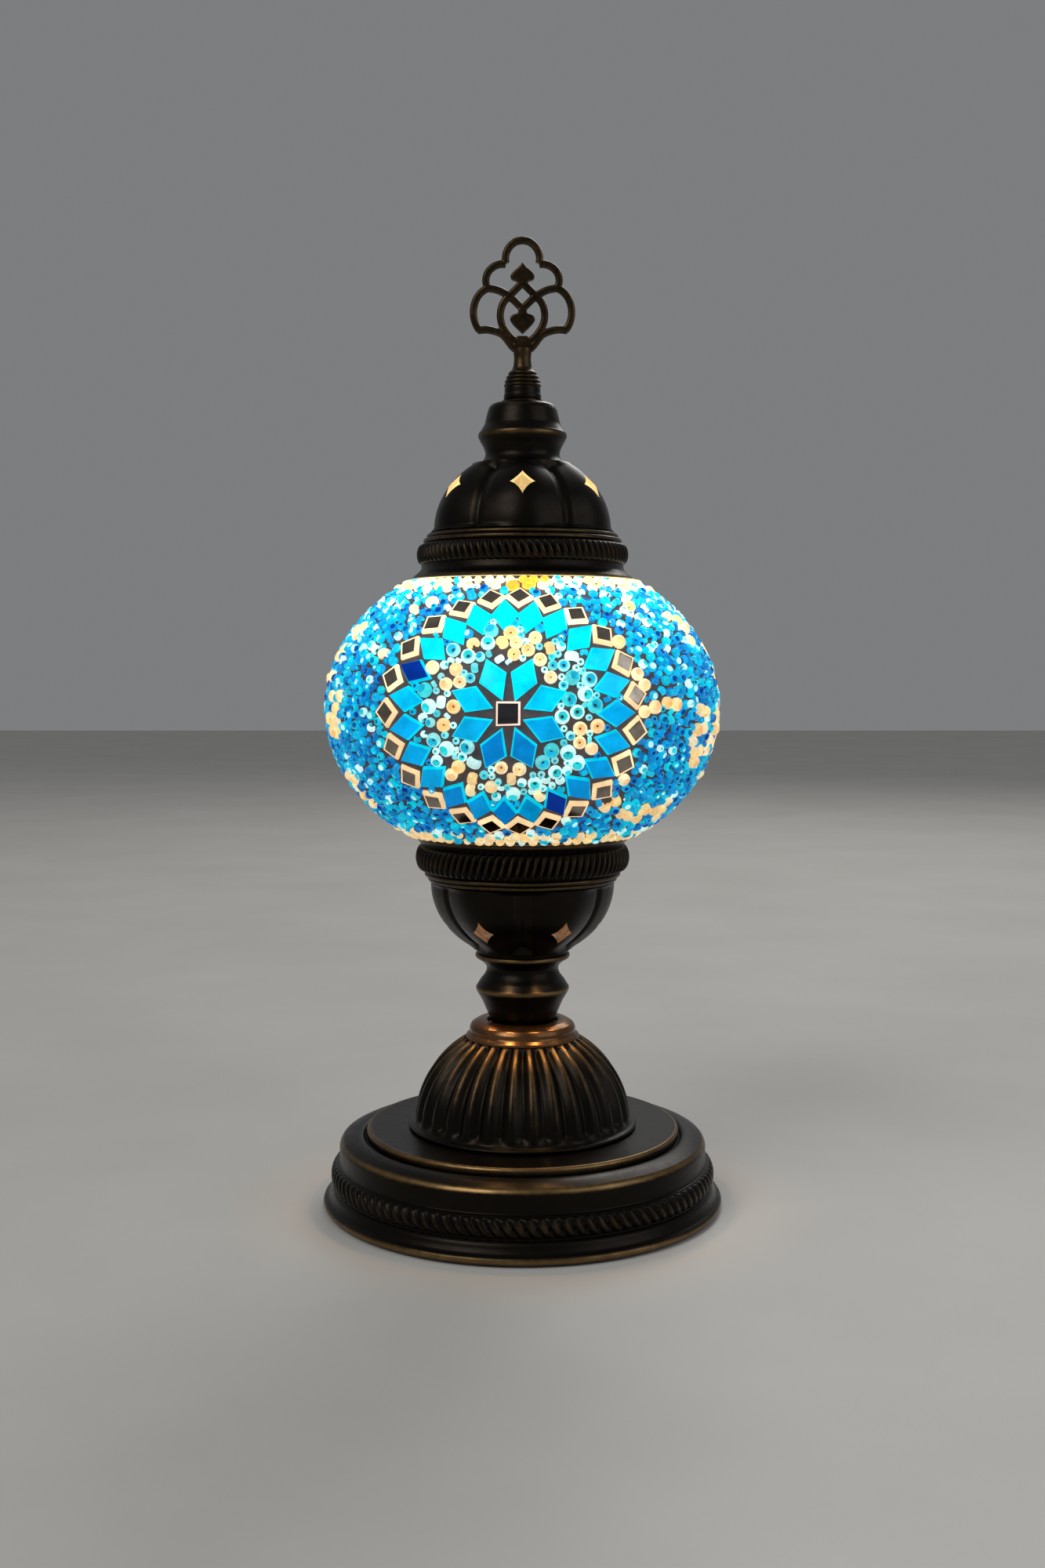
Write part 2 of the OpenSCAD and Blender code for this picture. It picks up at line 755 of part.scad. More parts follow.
// Openwork crest, drawn for one side and mirrored. Its sizes are shares of its width and height.
module crest_side() {
    x = crest_w / 2;
    z = crest_h;
    b = crest_bar;
    top_lobe = arc(0, 0.81 * z, 0.325 * x, 0.19 * z - b / 2, -14, 90, 10);
    middle_lobe = arc(0.375 * x, 0.617 * z, 0.325 * x, 0.145 * z, -28, 100, 10);
    lower_lobe = arc(0.56 * x, 0.333 * z, 0.44 * x - b / 2, 0.222 * z, -46, 75, 12);
    foot_scroll = [
        [0.86 * x, 0.172 * z],
        [0.68 * x, 0.178 * z],
        [0.5 * x, 0.16 * z],
        [0.36 * x, 0.125 * z],
        [0.2 * x, 0.03 * z]
    ];
    inward = [
        [0.67 * x, 0.548 * z],
        [0.47 * x, 0.53 * z],
        [0.26 * x, 0.478 * z],
        [0.1 * x, 0.41 * z],
        [-0.04 * x, 0.345 * z]
    ];
    heart = [
        [-0.02 * x, 0.035 * z],
        [0.14 * x, 0.075 * z],
        [0.27 * x, 0.13 * z],
        [0.385 * x, 0.215 * z],
        [0.425 * x, 0.31 * z],
        [0.375 * x, 0.41 * z],
        [0.25 * x, 0.48 * z],
        [0.1 * x, 0.55 * z],
        [-0.03 * x, 0.61 * z]
    ];
    crest_bar_along(top_lobe);
    crest_bar_along(middle_lobe);
    crest_bar_along(lower_lobe);
    crest_bar_along(foot_scroll);
    crest_bar_along(inward);
    crest_bar_along(heart);
}

// The stem and the two spades on the crest's middle line
module crest_middle() {
    x = crest_w / 2;
    z = crest_h;
    upper_spade = [
        [0.08 * x, 0.56 * z],
        [0.085 * x, 0.6 * z],
        [0.13 * x, 0.613 * z],
        [0.185 * x, 0.63 * z],
        [0.205 * x, 0.655 * z],
        [0.19 * x, 0.68 * z],
        [0.12 * x, 0.715 * z],
        [0.06 * x, 0.74 * z],
        [0, 0.765 * z]
    ];
    lower_spade = [
        [0.08 * x, 0.37 * z],
        [0.085 * x, 0.325 * z],
        [0.13 * x, 0.312 * z],
        [0.19 * x, 0.295 * z],
        [0.215 * x, 0.265 * z],
        [0.195 * x, 0.235 * z],
        [0.12 * x, 0.19 * z],
        [0.06 * x, 0.165 * z],
        [0, 0.148 * z]
    ];
    stem = [[0.17 * x, 0], [0.16 * x, 0.06 * z], [0.1 * x, 0.1 * z]];
    linear_extrude(crest_t) polygon(both_sides(upper_spade));
    linear_extrude(crest_t) polygon(both_sides(lower_spade));
    linear_extrude(crest_t) polygon(both_sides(stem));
}

module finial_crest() {
    color(brass)
        translate([0, 0, crest_z]) rotate([90, 0, 0])
            translate([0, 0, -crest_t / 2]) {
                crest_side();
                mirror([1, 0, 0]) crest_side();
                crest_middle();
            }
}

// ---------------------------------------------------------------- bulb

screw_top = holder_top - 1.6;
ball_z = bulb_top - bulb_r;

module bulb_contact() {
    color([0.75, 0.75, 0.75])
        translate([0, 0, bulb_z]) cylinder(r = 2.4, h = insulator_z - bulb_z);
}

module bulb_insulator() {
    color([0.1, 0.1, 0.12])
        translate([0, 0, insulator_z])
            cylinder(r1 = 3.8, r2 = screw_r - 0.6, h = sleeve_z + 0.4 - insulator_z);
}

module bulb_screw_cap() {
    color([0.72, 0.73, 0.74])
        translate([0, 0, sleeve_z + 0.4])
            ring(screw_r, screw_r - 0.5, screw_top - sleeve_z - 0.4);
}

module bulb_glass() {
    neck_r = screw_r + 1.4;
    join = asin(neck_r / bulb_r);
    glass = 1;
    color([0.95, 0.92, 0.85, 0.5])
        rotate_extrude()
            polygon(concat(
                [[screw_r - 0.5, screw_top], [screw_r, screw_top], [neck_r, screw_top + 3]],
                arc(0, ball_z, bulb_r, bulb_r, join - 90 + 4, 90, 16),
                flip(arc(0, ball_z, bulb_r - glass, bulb_r - glass, join - 90 + 4, 90, 16)),
                [[neck_r - glass, screw_top + 3], [screw_r - 0.5 - glass, screw_top]]));
}

module bulb_stem() {
    color([1, 0.75, 0.3])
        translate([0, 0, screw_top - 4]) {
            cylinder(r = 2.4, h = 9);
            for (i = [0 : 3])
                rotate([0, 0, 90 * i]) translate([1.5, 0, 8.5])
                    cylinder(r = 0.7, h = ball_z - screw_top + 6);
        }
}

// ---------------------------------------------------------------- nodes

felt_pad();
base_shell();
base_weight();
base_washer();
base_nut();
cord_inlet();
threaded_pipe();
fluted_dome();
collar_ring();
lower_neck();
lower_cup();
cup_washer();
harp_bracket();
harp_nut();
holder_cap();
holder_insulator();
holder_shell();
holder_sleeve();
holder_contact();
holder_screws();
cap_stud();
stud_nut();
lower_gasket();
glass_globe();
grout_layer();
rosette_centres();
rosette_petals();
rosette_diamonds();
mirror_tiles();
upper_gasket();
upper_cap();
upper_neck();
finial_washer();
finial_knob();
finial_crest();
bulb_contact();
bulb_insulator();
bulb_screw_cap();
bulb_glass();
bulb_stem();
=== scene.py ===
"""Mosaic glass table lamp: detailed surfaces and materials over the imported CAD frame.

Lengths are in millimetres until a mesh is made, when MM turns them into metres.
The front is -Y, +Z is up, and every place is worked out from the boxes of the CAD nodes.
"""
import itertools
from math import asin, copysign, cos, degrees, dist, exp, hypot, inf, pi, radians, sin, sqrt
from random import choice, random, seed, uniform

import bmesh
import bpy
from mathutils import Matrix, Vector


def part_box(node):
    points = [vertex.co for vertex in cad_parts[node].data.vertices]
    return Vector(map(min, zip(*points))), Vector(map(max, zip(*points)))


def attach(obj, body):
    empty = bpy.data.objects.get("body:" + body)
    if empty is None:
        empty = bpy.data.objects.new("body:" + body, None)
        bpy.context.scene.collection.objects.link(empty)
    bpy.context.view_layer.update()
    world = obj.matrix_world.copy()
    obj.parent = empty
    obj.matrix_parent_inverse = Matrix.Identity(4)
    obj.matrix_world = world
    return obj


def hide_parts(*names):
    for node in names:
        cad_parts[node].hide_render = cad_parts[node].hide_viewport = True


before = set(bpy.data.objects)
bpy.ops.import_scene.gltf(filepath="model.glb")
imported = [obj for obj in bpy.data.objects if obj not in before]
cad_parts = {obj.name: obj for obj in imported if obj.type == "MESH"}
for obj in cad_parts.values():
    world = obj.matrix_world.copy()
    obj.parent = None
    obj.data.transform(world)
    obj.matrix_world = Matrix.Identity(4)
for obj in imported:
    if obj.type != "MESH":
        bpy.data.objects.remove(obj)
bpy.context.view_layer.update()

MM = 0.001
TAU = 2 * pi
seed(20)


# ---- places from the frame


def low(node):
    """Height of a node's lowest point, in millimetres."""
    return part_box(node)[0].z / MM


def high(node):
    """Height of a node's highest point, in millimetres."""
    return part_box(node)[1].z / MM


def radius(node):
    """Half of a node's width along X, in millimetres."""
    lo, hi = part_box(node)
    return (hi.x - lo.x) / 2 / MM


RIM_R = radius("base_shell")
PLATE_Z = low("fluted_dome")
DOME_TOP = high("fluted_dome")
DOME_R = radius("fluted_dome") - 2
COLLAR_R = radius("collar_ring")
NECK_Z = low("lower_neck")
CUP_FLOOR = low("lower_cup")
CUP_LIP = high("lower_cup")
CAP_LIP = low("upper_cap")
CAP_TOP = high("upper_cap")
CAP_R = radius("upper_cap")
UPPER_NECK_TOP = high("upper_neck")
KNOB_Z = low("finial_knob")
KNOB_R = radius("finial_knob")
CREST_Z = low("finial_crest")
CREST_TOP = high("finial_crest")
CREST_R = radius("finial_crest")
PIPE_R = radius("threaded_pipe")
PIPE_HOLE = PIPE_R + 0.1
STUD_R = 3.08
GLOBE_Z = (low("glass_globe") + high("glass_globe")) / 2
GLOBE_HALF = (high("glass_globe") - low("glass_globe")) / 2
SKIN_A = radius("grout_layer")
GLASS_A = radius("glass_globe")
EDGE_R = CAP_R - 1.2
GLASS_B = GLOBE_HALF / sqrt(1 - (EDGE_R / GLASS_A) ** 2)
SKIN_B = GLASS_B + SKIN_A - GLASS_A
BULB_Z = high("bulb_glass") - radius("bulb_glass")
INLET_Z = (low("cord_inlet") + high("cord_inlet")) / 2


# ---- mesh helpers


def arc(x, z, rx, rz, start, end, steps):
    """Points along an elliptical arc, angles in degrees."""
    angles = [radians(start + (end - start) * i / steps) for i in range(steps + 1)]
    return [(x + rx * cos(a), z + rz * sin(a)) for a in angles]


def rounded(points, size, steps):
    """Replaces each inner corner of an outline by a small curve."""
    out = [points[0]]
    for before, corner, after in zip(points, points[1:], points[2:]):
        here = Vector(corner)
        back, on = Vector(before) - here, Vector(after) - here
        reach = min(size, back.length * 0.45, on.length * 0.45)
        start, end = here + back.normalized() * reach, here + on.normalized() * reach
        for i in range(steps + 1):
            t = i / steps
            p = start * (1 - t) ** 2 + here * 2 * t * (1 - t) + end * t**2
            out.append((p.x, p.y))
    return out + [points[-1]]


def through(points, steps):
    """A smooth curve through the given points."""
    out = []
    last = len(points) - 1
    for i in range(last):
        p = [Vector(points[max(0, min(last, i + k))]) for k in (-1, 0, 1, 2)]
        for s in range(steps):
            t = s / steps
            q = 0.5 * (
                2 * p[1]
                + (p[2] - p[0]) * t
                + (2 * p[0] - 5 * p[1] + 4 * p[2] - p[3]) * t * t
                + (3 * p[1] - p[0] - 3 * p[2] + p[3]) * t**3
            )
            out.append((q.x, q.y))
    return out + [points[-1]]


def add_to_scene(name, data):
    """Makes an object and puts it in the scene."""
    made = bpy.data.objects.new(name, data)
    bpy.context.scene.collection.objects.link(made)
    return made


def new_mesh(name, vertices, faces):
    """Makes a mesh from millimetre vertices."""
    mesh = bpy.data.meshes.new(name)
    mesh.from_pydata([Vector(v) * MM for v in vertices], [], faces)
    return mesh


def new_object(name, vertices, faces, body, replaced, slot, materials, crease):
    """Makes an object from millimetre vertices and ties it to its body."""
    mesh = new_mesh(name, vertices, faces)
    mesh.validate()
    mesh.update()
    piece = add_to_scene(name, mesh)
    mesh.shade_smooth()
    mesh.set_sharp_from_angle(angle=radians(crease))
    for material in materials:
        mesh.materials.append(material)
    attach(piece, body)
    if replaced:
        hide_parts(*replaced)
    return piece


def paint_wear_and_sheen(piece, wear_and_sheen_values):
    """Stores how bright the metal is at each vertex: rubbed wear, and on the dome and the collar also
    painted highlights.
    """
    piece.data.attributes.new("wear_and_sheen", "FLOAT", "POINT").data.foreach_set("value", wear_and_sheen_values)


def around(count):
    """Even angles round a circle."""
    return [TAU * k / count for k in range(count)]


def quads(a, b):
    """Faces between two rings of vertex numbers."""
    return [list(corners) for corners in zip(a, a[1:] + a[:1], b[1:] + b[:1], b)]


def tube_faces(rings, count):
    """Faces of a bar made of rings with count vertices each, with a face at both ends."""
    numbers = [list(range(j * count, (j + 1) * count)) for j in range(rings)]
    faces = [face for a, b in zip(numbers, numbers[1:]) for face in quads(a, b)]
    return faces + [numbers[0][::-1], numbers[-1]]


def lathe(name, line, body, replaced, turns, wear_and_sheen=None, shape=None, slot="antique_brass",
          materials=None, inner_from=inf, crease=40):
    """Turns a closed outline round the Z axis.

    Its brightness function, given (i, angle), says how bright the metal is at outline point i, from rubbed
    wear and painted highlights, and shape(r, z, angle, i) moves it. Faces from point inner_from onwards get
    the second material.
    """
    on_axis = 1e-6
    vertices, faces, finishes, wear_and_sheen_values, rings = [], [], [], [], []
    for i, (r, z) in enumerate(line):
        count = 1 if r <= on_axis else turns
        rings.append([len(vertices) + k for k in range(count)] * (turns // count))
        for angle in around(turns)[:count]:
            rr, zz = shape(r, z, angle, i) if shape else (r, z)
            vertices.append((rr * cos(angle), rr * sin(angle), zz))
            wear_and_sheen_values.append(wear_and_sheen(i, angle) if wear_and_sheen else 0)
    open_ends = line[0][0] <= on_axis and line[-1][0] <= on_axis
    for i in range(len(line) - open_ends):
        for face in quads(rings[i], rings[(i + 1) % len(line)]):
            unique = list(dict.fromkeys(face))
            if len(unique) > 2:
                faces.append(unique)
                finishes.append(int(i >= inner_from))
    piece = new_object(name, vertices, faces, body, replaced, slot, materials or [ANTIQUE], crease)
    piece.data.polygons.foreach_set("material_index", finishes)
    paint_wear_and_sheen(piece, wear_and_sheen_values)
    return piece


def fix_normals(piece):
    """Turns every face outwards."""
    bm = bmesh.new()
    bm.from_mesh(piece.data)
    bmesh.ops.recalc_face_normals(bm, faces=bm.faces)
    bm.to_mesh(piece.data)
    bm.free()


def apply_modifiers(piece):
    """Makes the modifiers' result the piece's own mesh."""
    graph = bpy.context.evaluated_depsgraph_get()
    result = bpy.data.meshes.new_from_object(piece.evaluated_get(graph))
    piece.modifiers.clear()
    old = piece.data
    piece.data = result
    bpy.data.meshes.remove(old)


def cut(piece, vertices, faces, finish=0):
    """Cuts a shape out of a piece; the new walls get one of its materials."""
    mesh = new_mesh("cutter", vertices, faces)
    for material in piece.data.materials:
        mesh.materials.append(material)
    mesh.polygons.foreach_set("material_index", [finish] * len(faces))
    cutter = add_to_scene("cutter", mesh)
    fix_normals(cutter)
    fix_normals(piece)
    modifier = piece.modifiers.new("cut", "BOOLEAN")
    modifier.operation = "DIFFERENCE"
    modifier.solver = "EXACT"
    modifier.object = cutter
    apply_modifiers(piece)
    bpy.data.objects.remove(cutter)
    bpy.data.meshes.remove(mesh)


def rod(radius_mm, length, sides):
    """Vertices and faces of a round bar along +Z."""
    vertices = [(radius_mm * cos(a), radius_mm * sin(a), z)
                for z in (0, length) for a in around(sides)]
    return vertices, tube_faces(2, sides)


def signed_power(value, exponent):
    """A power of a number that keeps its sign."""
    return copysign(abs(value) ** exponent, value)


def bell(distance, width):
    """One at no distance, falling away smoothly over a width."""
    return exp(-(distance / width) ** 2)


# ---- materials


class Nodes:
    """A short way to build a node tree."""

    def __init__(self, name):
        self.material = bpy.data.materials.new(name)
        self.material.use_nodes = True
        self.tree = self.material.node_tree
        self.shader = self.tree.nodes["Principled BSDF"]
        self.coordinates = self.add("TexCoord").outputs["Object"]

    def add(self, kind, **settings):
        node = self.tree.nodes.new("ShaderNode" + kind)
        for key, setting in settings.items():
            setattr(node, key, setting)
        return node

    def put(self, socket, source):
        """Gives a socket a number, a colour or what another node gives."""
        if isinstance(source, (int, float)):
            socket.default_value = source
        elif isinstance(source, tuple):
            socket.default_value = (*source[:3], 1)
        else:
            self.tree.links.new(source, socket)

    def feed(self, socket, source):
        """Gives one of the shader's own sockets its source."""
        self.put(self.shader.inputs[socket], source)

    def noise(self, scale, detail=4, rough=0.55, stretch=None):
        """Noise with features about 1/scale metres across."""
        source = self.coordinates
        if stretch:
            mapping = self.add("Mapping")
            mapping.inputs["Scale"].default_value = stretch
            self.put(mapping.inputs["Vector"], source)
            source = mapping.outputs["Vector"]
        node = self.add("TexNoise")
        sockets = {"Vector": source, "Scale": scale, "Detail": detail, "Roughness": rough}
        for socket, given in sockets.items():
            self.put(node.inputs[socket], given)
        return node.outputs["Fac"]

    def math(self, kind, a, b):
        node = self.add("Math", operation=kind)
        self.put(node.inputs[0], a)
        self.put(node.inputs[1], b)
        return node.outputs[0]

    def plus(self, a, b):
        return self.math("ADD", a, b)

    def times(self, a, b):
        return self.math("MULTIPLY", a, b)

    def ramp(self, source, to=(0.0, 1.0), span=(0.3, 0.7), smooth=False):
        """Spreads one span of values over another."""
        node = self.add("MapRange", interpolation_type="SMOOTHSTEP" if smooth else "LINEAR")
        sockets = ("Value", "From Min", "From Max", "To Min", "To Max")
        for socket, given in zip(sockets, (source, *span, *to)):
            self.put(node.inputs[socket], given)
        return node.outputs[0]

    def mix(self, factor, a, b, blend="MIX"):
        node = self.add("Mix", data_type="RGBA", blend_type=blend)
        self.put(node.inputs["Factor"], factor)
        self.put(node.inputs[6], a)
        self.put(node.inputs[7], b)
        return node.outputs[2]

    def attribute(self, name, output="Fac"):
        return self.add("Attribute", attribute_name=name).outputs[output]

    def bump(self, height, strength, distance_mm):
        node = self.add("Bump")
        self.put(node.inputs["Strength"], strength)
        self.put(node.inputs["Distance"], distance_mm * MM)
        self.put(node.inputs["Height"], height)
        self.feed("Normal", node.outputs["Normal"])

    def glow(self, near, power=2.0):
        """Brightness that falls off from the bulb: one at a distance of near millimetres."""
        place = self.add("VectorMath", operation="DISTANCE")
        self.put(place.inputs[0], self.coordinates)
        place.inputs[1].default_value = (0, 0, (BULB_Z + 6) * MM)
        return self.math("POWER", self.math("DIVIDE", near * MM, place.outputs["Value"]), power)


def metal(name, dark, bright, wear, rough, bump=0.25):
    """Patinated metal, dark in the hollows and bright where its per-vertex brightness says: rubbed wear on
    the ridges, and painted highlights on the dome and the collar.
    """
    n = Nodes(name)
    broad = n.noise(38, 5)
    fine = n.noise(420, 6, 0.65)
    # The per-vertex brightness holds rubbed wear and, on the dome and the collar, painted highlights.
    wear_and_sheen_amount = n.plus(n.times(n.attribute("wear_and_sheen"), 0.9), n.times(broad, wear))
    amount = n.ramp(n.plus(wear_and_sheen_amount, n.times(fine, 0.35)), span=(0.42, 1.35), smooth=True)
    stain = n.ramp(n.noise(90, 6, 0.7, (1, 1, 2.2)), span=(0.35, 0.75))
    stained = tuple(c * 0.55 for c in dark)
    n.feed("Base Color", n.mix(n.times(stain, 0.6), n.mix(amount, dark, bright), stained))
    n.feed("Metallic", 0.92)
    n.feed("Roughness", n.ramp(n.plus(fine, n.times(stain, 0.5)), rough, (0.3, 1.2)))
    n.bump(n.plus(n.times(broad, 1.4), n.times(fine, 0.5)), bump, 0.12)
    return n.material


def plain(name, colour, rough, metallic, grain, spread, bump, stretch=None, coat=0.0):
    """A plain material with slight grain in its colour, gloss and surface."""
    n = Nodes(name)
    grainy = n.noise(grain, 5, 0.6, stretch)
    darker = tuple(c * (1 - spread) for c in colour)
    lighter = tuple(min(1, c * (1 + spread)) for c in colour)
    n.feed("Base Color", n.mix(n.ramp(grainy), darker, lighter))
    n.feed("Roughness", n.ramp(grainy, (rough * 0.8, min(1, rough * 1.25))))
    n.feed("Metallic", metallic)
    n.feed("Coat Weight", coat)
    n.bump(grainy, bump, 0.08)
    return n.material


def lit_glass(name, strength, rough, streak, grain, gloss):
    """Coloured glass that glows with the light of the bulb behind it. Its tint is stored per face."""
    n = Nodes(name)
    tint = n.attribute("tint", "Color")
    cloud = n.ramp(n.noise(grain, 4, 0.6), (1 - streak, 1 + streak), (0.3, 0.72))
    n.feed("Base Color", n.mix(1.0, tint, (0.55, 0.55, 0.55), "MULTIPLY"))
    n.feed("Emission Color", tint)
    n.feed("Emission Strength", n.times(n.times(n.glow(SKIN_GLOW), cloud), strength))
    n.feed("Roughness", n.ramp(n.noise(260, 3), (rough * 0.7, rough * 1.5)))
    n.feed("IOR", 1.5)
    n.feed("Coat Weight", gloss)
    n.feed("Coat Roughness", 0.05)
    n.feed("Specular IOR Level", 0.1 + 0.6 * gloss)
    n.bump(n.noise(grain * 1.3, 3), 0.2, 0.25)
    return n.material


def glowing(name, colour, rough, strength, near, power=2.0, shade=1.0):
    """A surface inside the lamp with a glow that falls off from the bulb: painted bulb light on the cap and
    cup linings and on the globe glass, and the filament's own light on the filament.
    """
    n = Nodes(name)
    grainy = n.noise(240, 4)
    darker, lighter = (tuple(c * k * shade for c in colour) for k in (0.8, 1.0))
    n.feed("Base Color", n.mix(n.ramp(grainy), darker, lighter))
    n.feed("Emission Color", colour)
    n.feed("Emission Strength", n.times(n.times(n.glow(near, power), n.ramp(grainy, (0.85, 1.1))), strength))
    n.feed("Roughness", rough)
    n.bump(grainy, 0.1, 0.1)
    return n.material


def grout_material():
    """Dark grout, faintly lit from behind."""
    n = Nodes("grout")
    grainy = n.noise(420, 5, 0.65)
    mottled = n.ramp(n.plus(grainy, n.noise(60, 3)), span=(0.7, 1.3))
    n.feed("Base Color", n.mix(mottled, (0.022, 0.017, 0.019), (0.07, 0.053, 0.058)))
    n.feed("Emission Color", (0.052, 0.037, 0.040))
    n.feed("Emission Strength", n.times(n.glow(SKIN_GLOW), n.ramp(grainy, (0.5, 1.0))))
    n.feed("Roughness", 0.7)
    n.bump(grainy, 0.5, 0.2)
    return n.material


def bulb_material():
    """Clear blown glass round the filaments, full of their light."""
    n = Nodes("bulb_glass")
    colour = (1.0, 0.96, 0.88)
    wave = n.noise(60, 3)
    n.feed("Base Color", n.mix(n.ramp(wave), tuple(c * 0.93 for c in colour), colour))
    n.feed("Transmission Weight", 0.9)
    n.feed("Roughness", n.ramp(wave, (0.03, 0.048)))
    n.feed("IOR", 1.46)
    n.feed("Emission Color", (1.0, 0.76, 0.42))
    n.feed("Emission Strength", n.times(n.glow(24, 1.0), 1.5))
    n.bump(wave, 0.1, 0.2)
    return n.material


SKIN_GLOW = 66
ANTIQUE = metal("antique_brass", (0.011, 0.0085, 0.006), (0.30, 0.18, 0.07), 0.3, (0.25, 0.45))
# Warm, bright coppery brass: partly the metal's tone and partly a painted glow of the cup stars' light on
# the collar. The finial washer uses it too.
COPPERY_WITH_PAINTED_GLOW = metal("coppery_brass_painted_glow", (0.032, 0.018, 0.010), (0.50, 0.235, 0.085), 0.35, (0.2, 0.34), 0.07)
# Painted bulb light: the insides of the cap and the cup glow by themselves.
CAP_INSIDE = glowing("lit_inside_of_cap", (1.0, 0.74, 0.32), 0.5, 0.6, 60, 2.6, 0.3)
CUP_INSIDE = glowing("lit_inside_of_cup", (1.0, 0.44, 0.20), 0.5, 0.42, 60, 2.6, 0.12)
GLASS_BEAD = lit_glass("seed_bead_glass", 0.88, 0.16, 0.25, 700, 0.3)
TILE_GLASS = lit_glass("tile_glass", 1.25, 0.12, 0.3, 170, 0.0)
MIRROR = plain("mirror_tile", (0.34, 0.29, 0.24), 0.12, 1.0, 200, 0.35, 0.2)
BLACK_MIRROR = plain("black_mirror_tile", (0.012, 0.012, 0.016), 0.08, 0.0, 200, 0.3, 0.1, coat=1.0)
STEEL = plain("zinc_steel", (0.58, 0.59, 0.6), 0.32, 1.0, 500, 0.12, 0.2, (1, 1, 6))
IRON = plain("cast_iron", (0.07, 0.07, 0.075), 0.62, 0.7, 260, 0.4, 0.7)
FELT = plain("wool_felt", (0.025, 0.024, 0.024), 0.95, 0.0, 900, 0.5, 0.9)
RUBBER = plain("black_rubber", (0.022, 0.022, 0.022), 0.6, 0.0, 700, 0.25, 0.3)
PHENOLIC = plain("black_phenolic", (0.02, 0.02, 0.021), 0.35, 0.0, 400, 0.2, 0.1, coat=0.3)
CERAMIC = plain("cream_ceramic", (0.74, 0.71, 0.63), 0.3, 0.0, 180, 0.08, 0.1, coat=0.5)
CONTACT = plain("contact_brass", (0.72, 0.52, 0.22), 0.25, 1.0, 350, 0.15, 0.1)
NICKEL = plain("nickel", (0.68, 0.67, 0.65), 0.22, 1.0, 350, 0.1, 0.1)
FILAMENT = glowing("led_filament", (1.0, 0.72, 0.36), 0.4, 9.0, 20, 0.5)
GROUT = grout_material()
# Painted bulb light on the globe's glass.
GLOBE_GLASS = glowing("globe_glass", (0.86, 0.78, 0.60), 0.25, 0.75, SKIN_GLOW)
BULB_GLASS = bulb_material()


# ---- metal parts


def rubbed_at(outer, ridges):
    """Brightness near ridges, given as height, width and strength; none inside the part."""
    def wear_and_sheen(i, angle):
        if i >= len(outer):
            return 0.0
        return max(strength * bell(outer[i][1] - z, width) for z, width, strength in ridges)

    return wear_and_sheen


def rope_band(name, r, z, half, bulge, strands, slant, body):
    """A band of slanted strands, like a twisted rope laid round the part."""
    rows = 14
    steps = 10
    wrap = [(r, z - half + 2 * half * j / rows) for j in range(rows + 1)]
    outline = [(r - 1.0, z - half)] + wrap + [(r - 1.0, z + half)]

    def swell(zz):
        return max(0.0, 1 - ((zz - z) / half) ** 2) ** 0.5

    def strand(angle, zz):
        phase = strands * angle / TAU + slant * (zz - z) / half
        return abs(cos(pi * phase)) ** 0.7

    def shape(rr, zz, angle, i):
        return rr + bulge * swell(zz) * (0.30 + 0.70 * strand(angle, zz)), zz

    def wear_and_sheen(i, angle):
        zz = outline[i][1]
        return 0.55 * max(0.0, strand(angle, zz) * swell(zz) * 1.6 - 0.95)

    return lathe(name, outline, body, (), strands * steps, wear_and_sheen, shape, crease=70)


def make_base():
    """The stepped foot: rolled rim, flare, drum wall, shoulder, groove and raised plate."""
    wall = 1.2
    drum_r = RIM_R - 5.5
    step_r = drum_r - 9.1
    rope_z = 0.42 * PLATE_Z
    flare = [(RIM_R - 1.9, 3.9), (RIM_R - 2.5, 5.0), (drum_r + 2.4, 6.4), (drum_r + 1.3, 7.3)]
    drum = [(drum_r + 0.9, 14.5), (drum_r, 14.8), (drum_r, 20.9), (drum_r - 1.0, 22.4), (drum_r - 2.6, 23.0)]
    shoulder = [(drum_r - 4.0, 23.6), (drum_r - 6.0, 24.0), (drum_r - 7.6, 23.9), (drum_r - 8.4, 23.2)]
    plate = [(step_r + 0.3, 22.75), (step_r, 23.0), (step_r, 25.5), (step_r - 0.7, 26.25),
             (step_r - 1.7, 26.1), (step_r - 7, PLATE_Z), (DOME_R + 1, PLATE_Z), (PIPE_HOLE, PLATE_Z)]
    outer = (
        arc(RIM_R - 1.45, 1.95, 1.45, 1.45, -90, 75, 10)
        + through(flare, 4)
        + [(drum_r + 1.1, rope_z), (drum_r + 1.2, 14.2)]
        + rounded(drum, 0.9, 4)
        + through(shoulder, 4)
        + rounded(plate, 0.45, 4)
    )
    inner = [
        (PIPE_HOLE, PLATE_Z - wall), (step_r - wall, PLATE_Z - wall), (step_r - wall, 21.7),
        (drum_r - 2.8, 21.7), (drum_r - wall, 19.8), (drum_r - wall, 7.6), (RIM_R - 6.2, 5.2),
        (RIM_R - 6.2, 2.05), (RIM_R - 1.9, 2.05), (RIM_R - 1.9, 0.6),
    ]
    edges = ((RIM_R, 1.9), (drum_r - 0.6, 21.9), (step_r - 0.3, 25.9))

    def wear_and_sheen(i, angle):
        if i >= len(outer):
            return 0.0
        return 0.85 * max(bell(dist(outer[i], edge), 1.1) for edge in edges)

    base = lathe("base_body", outer + inner, "stand", ("base_shell",), 360, wear_and_sheen)
    rope = rope_band("base_rope", drum_r + 1.0, rope_z, 3.4, 1.9, 107, 0.55, "stand")
    vertices, faces = rod(4.6, 30, 48)
    placed = [(x, drum_r - 14 + z, INLET_Z - y) for x, y, z in vertices]
    cut(base, placed, faces)
    cut(rope, placed, faces)


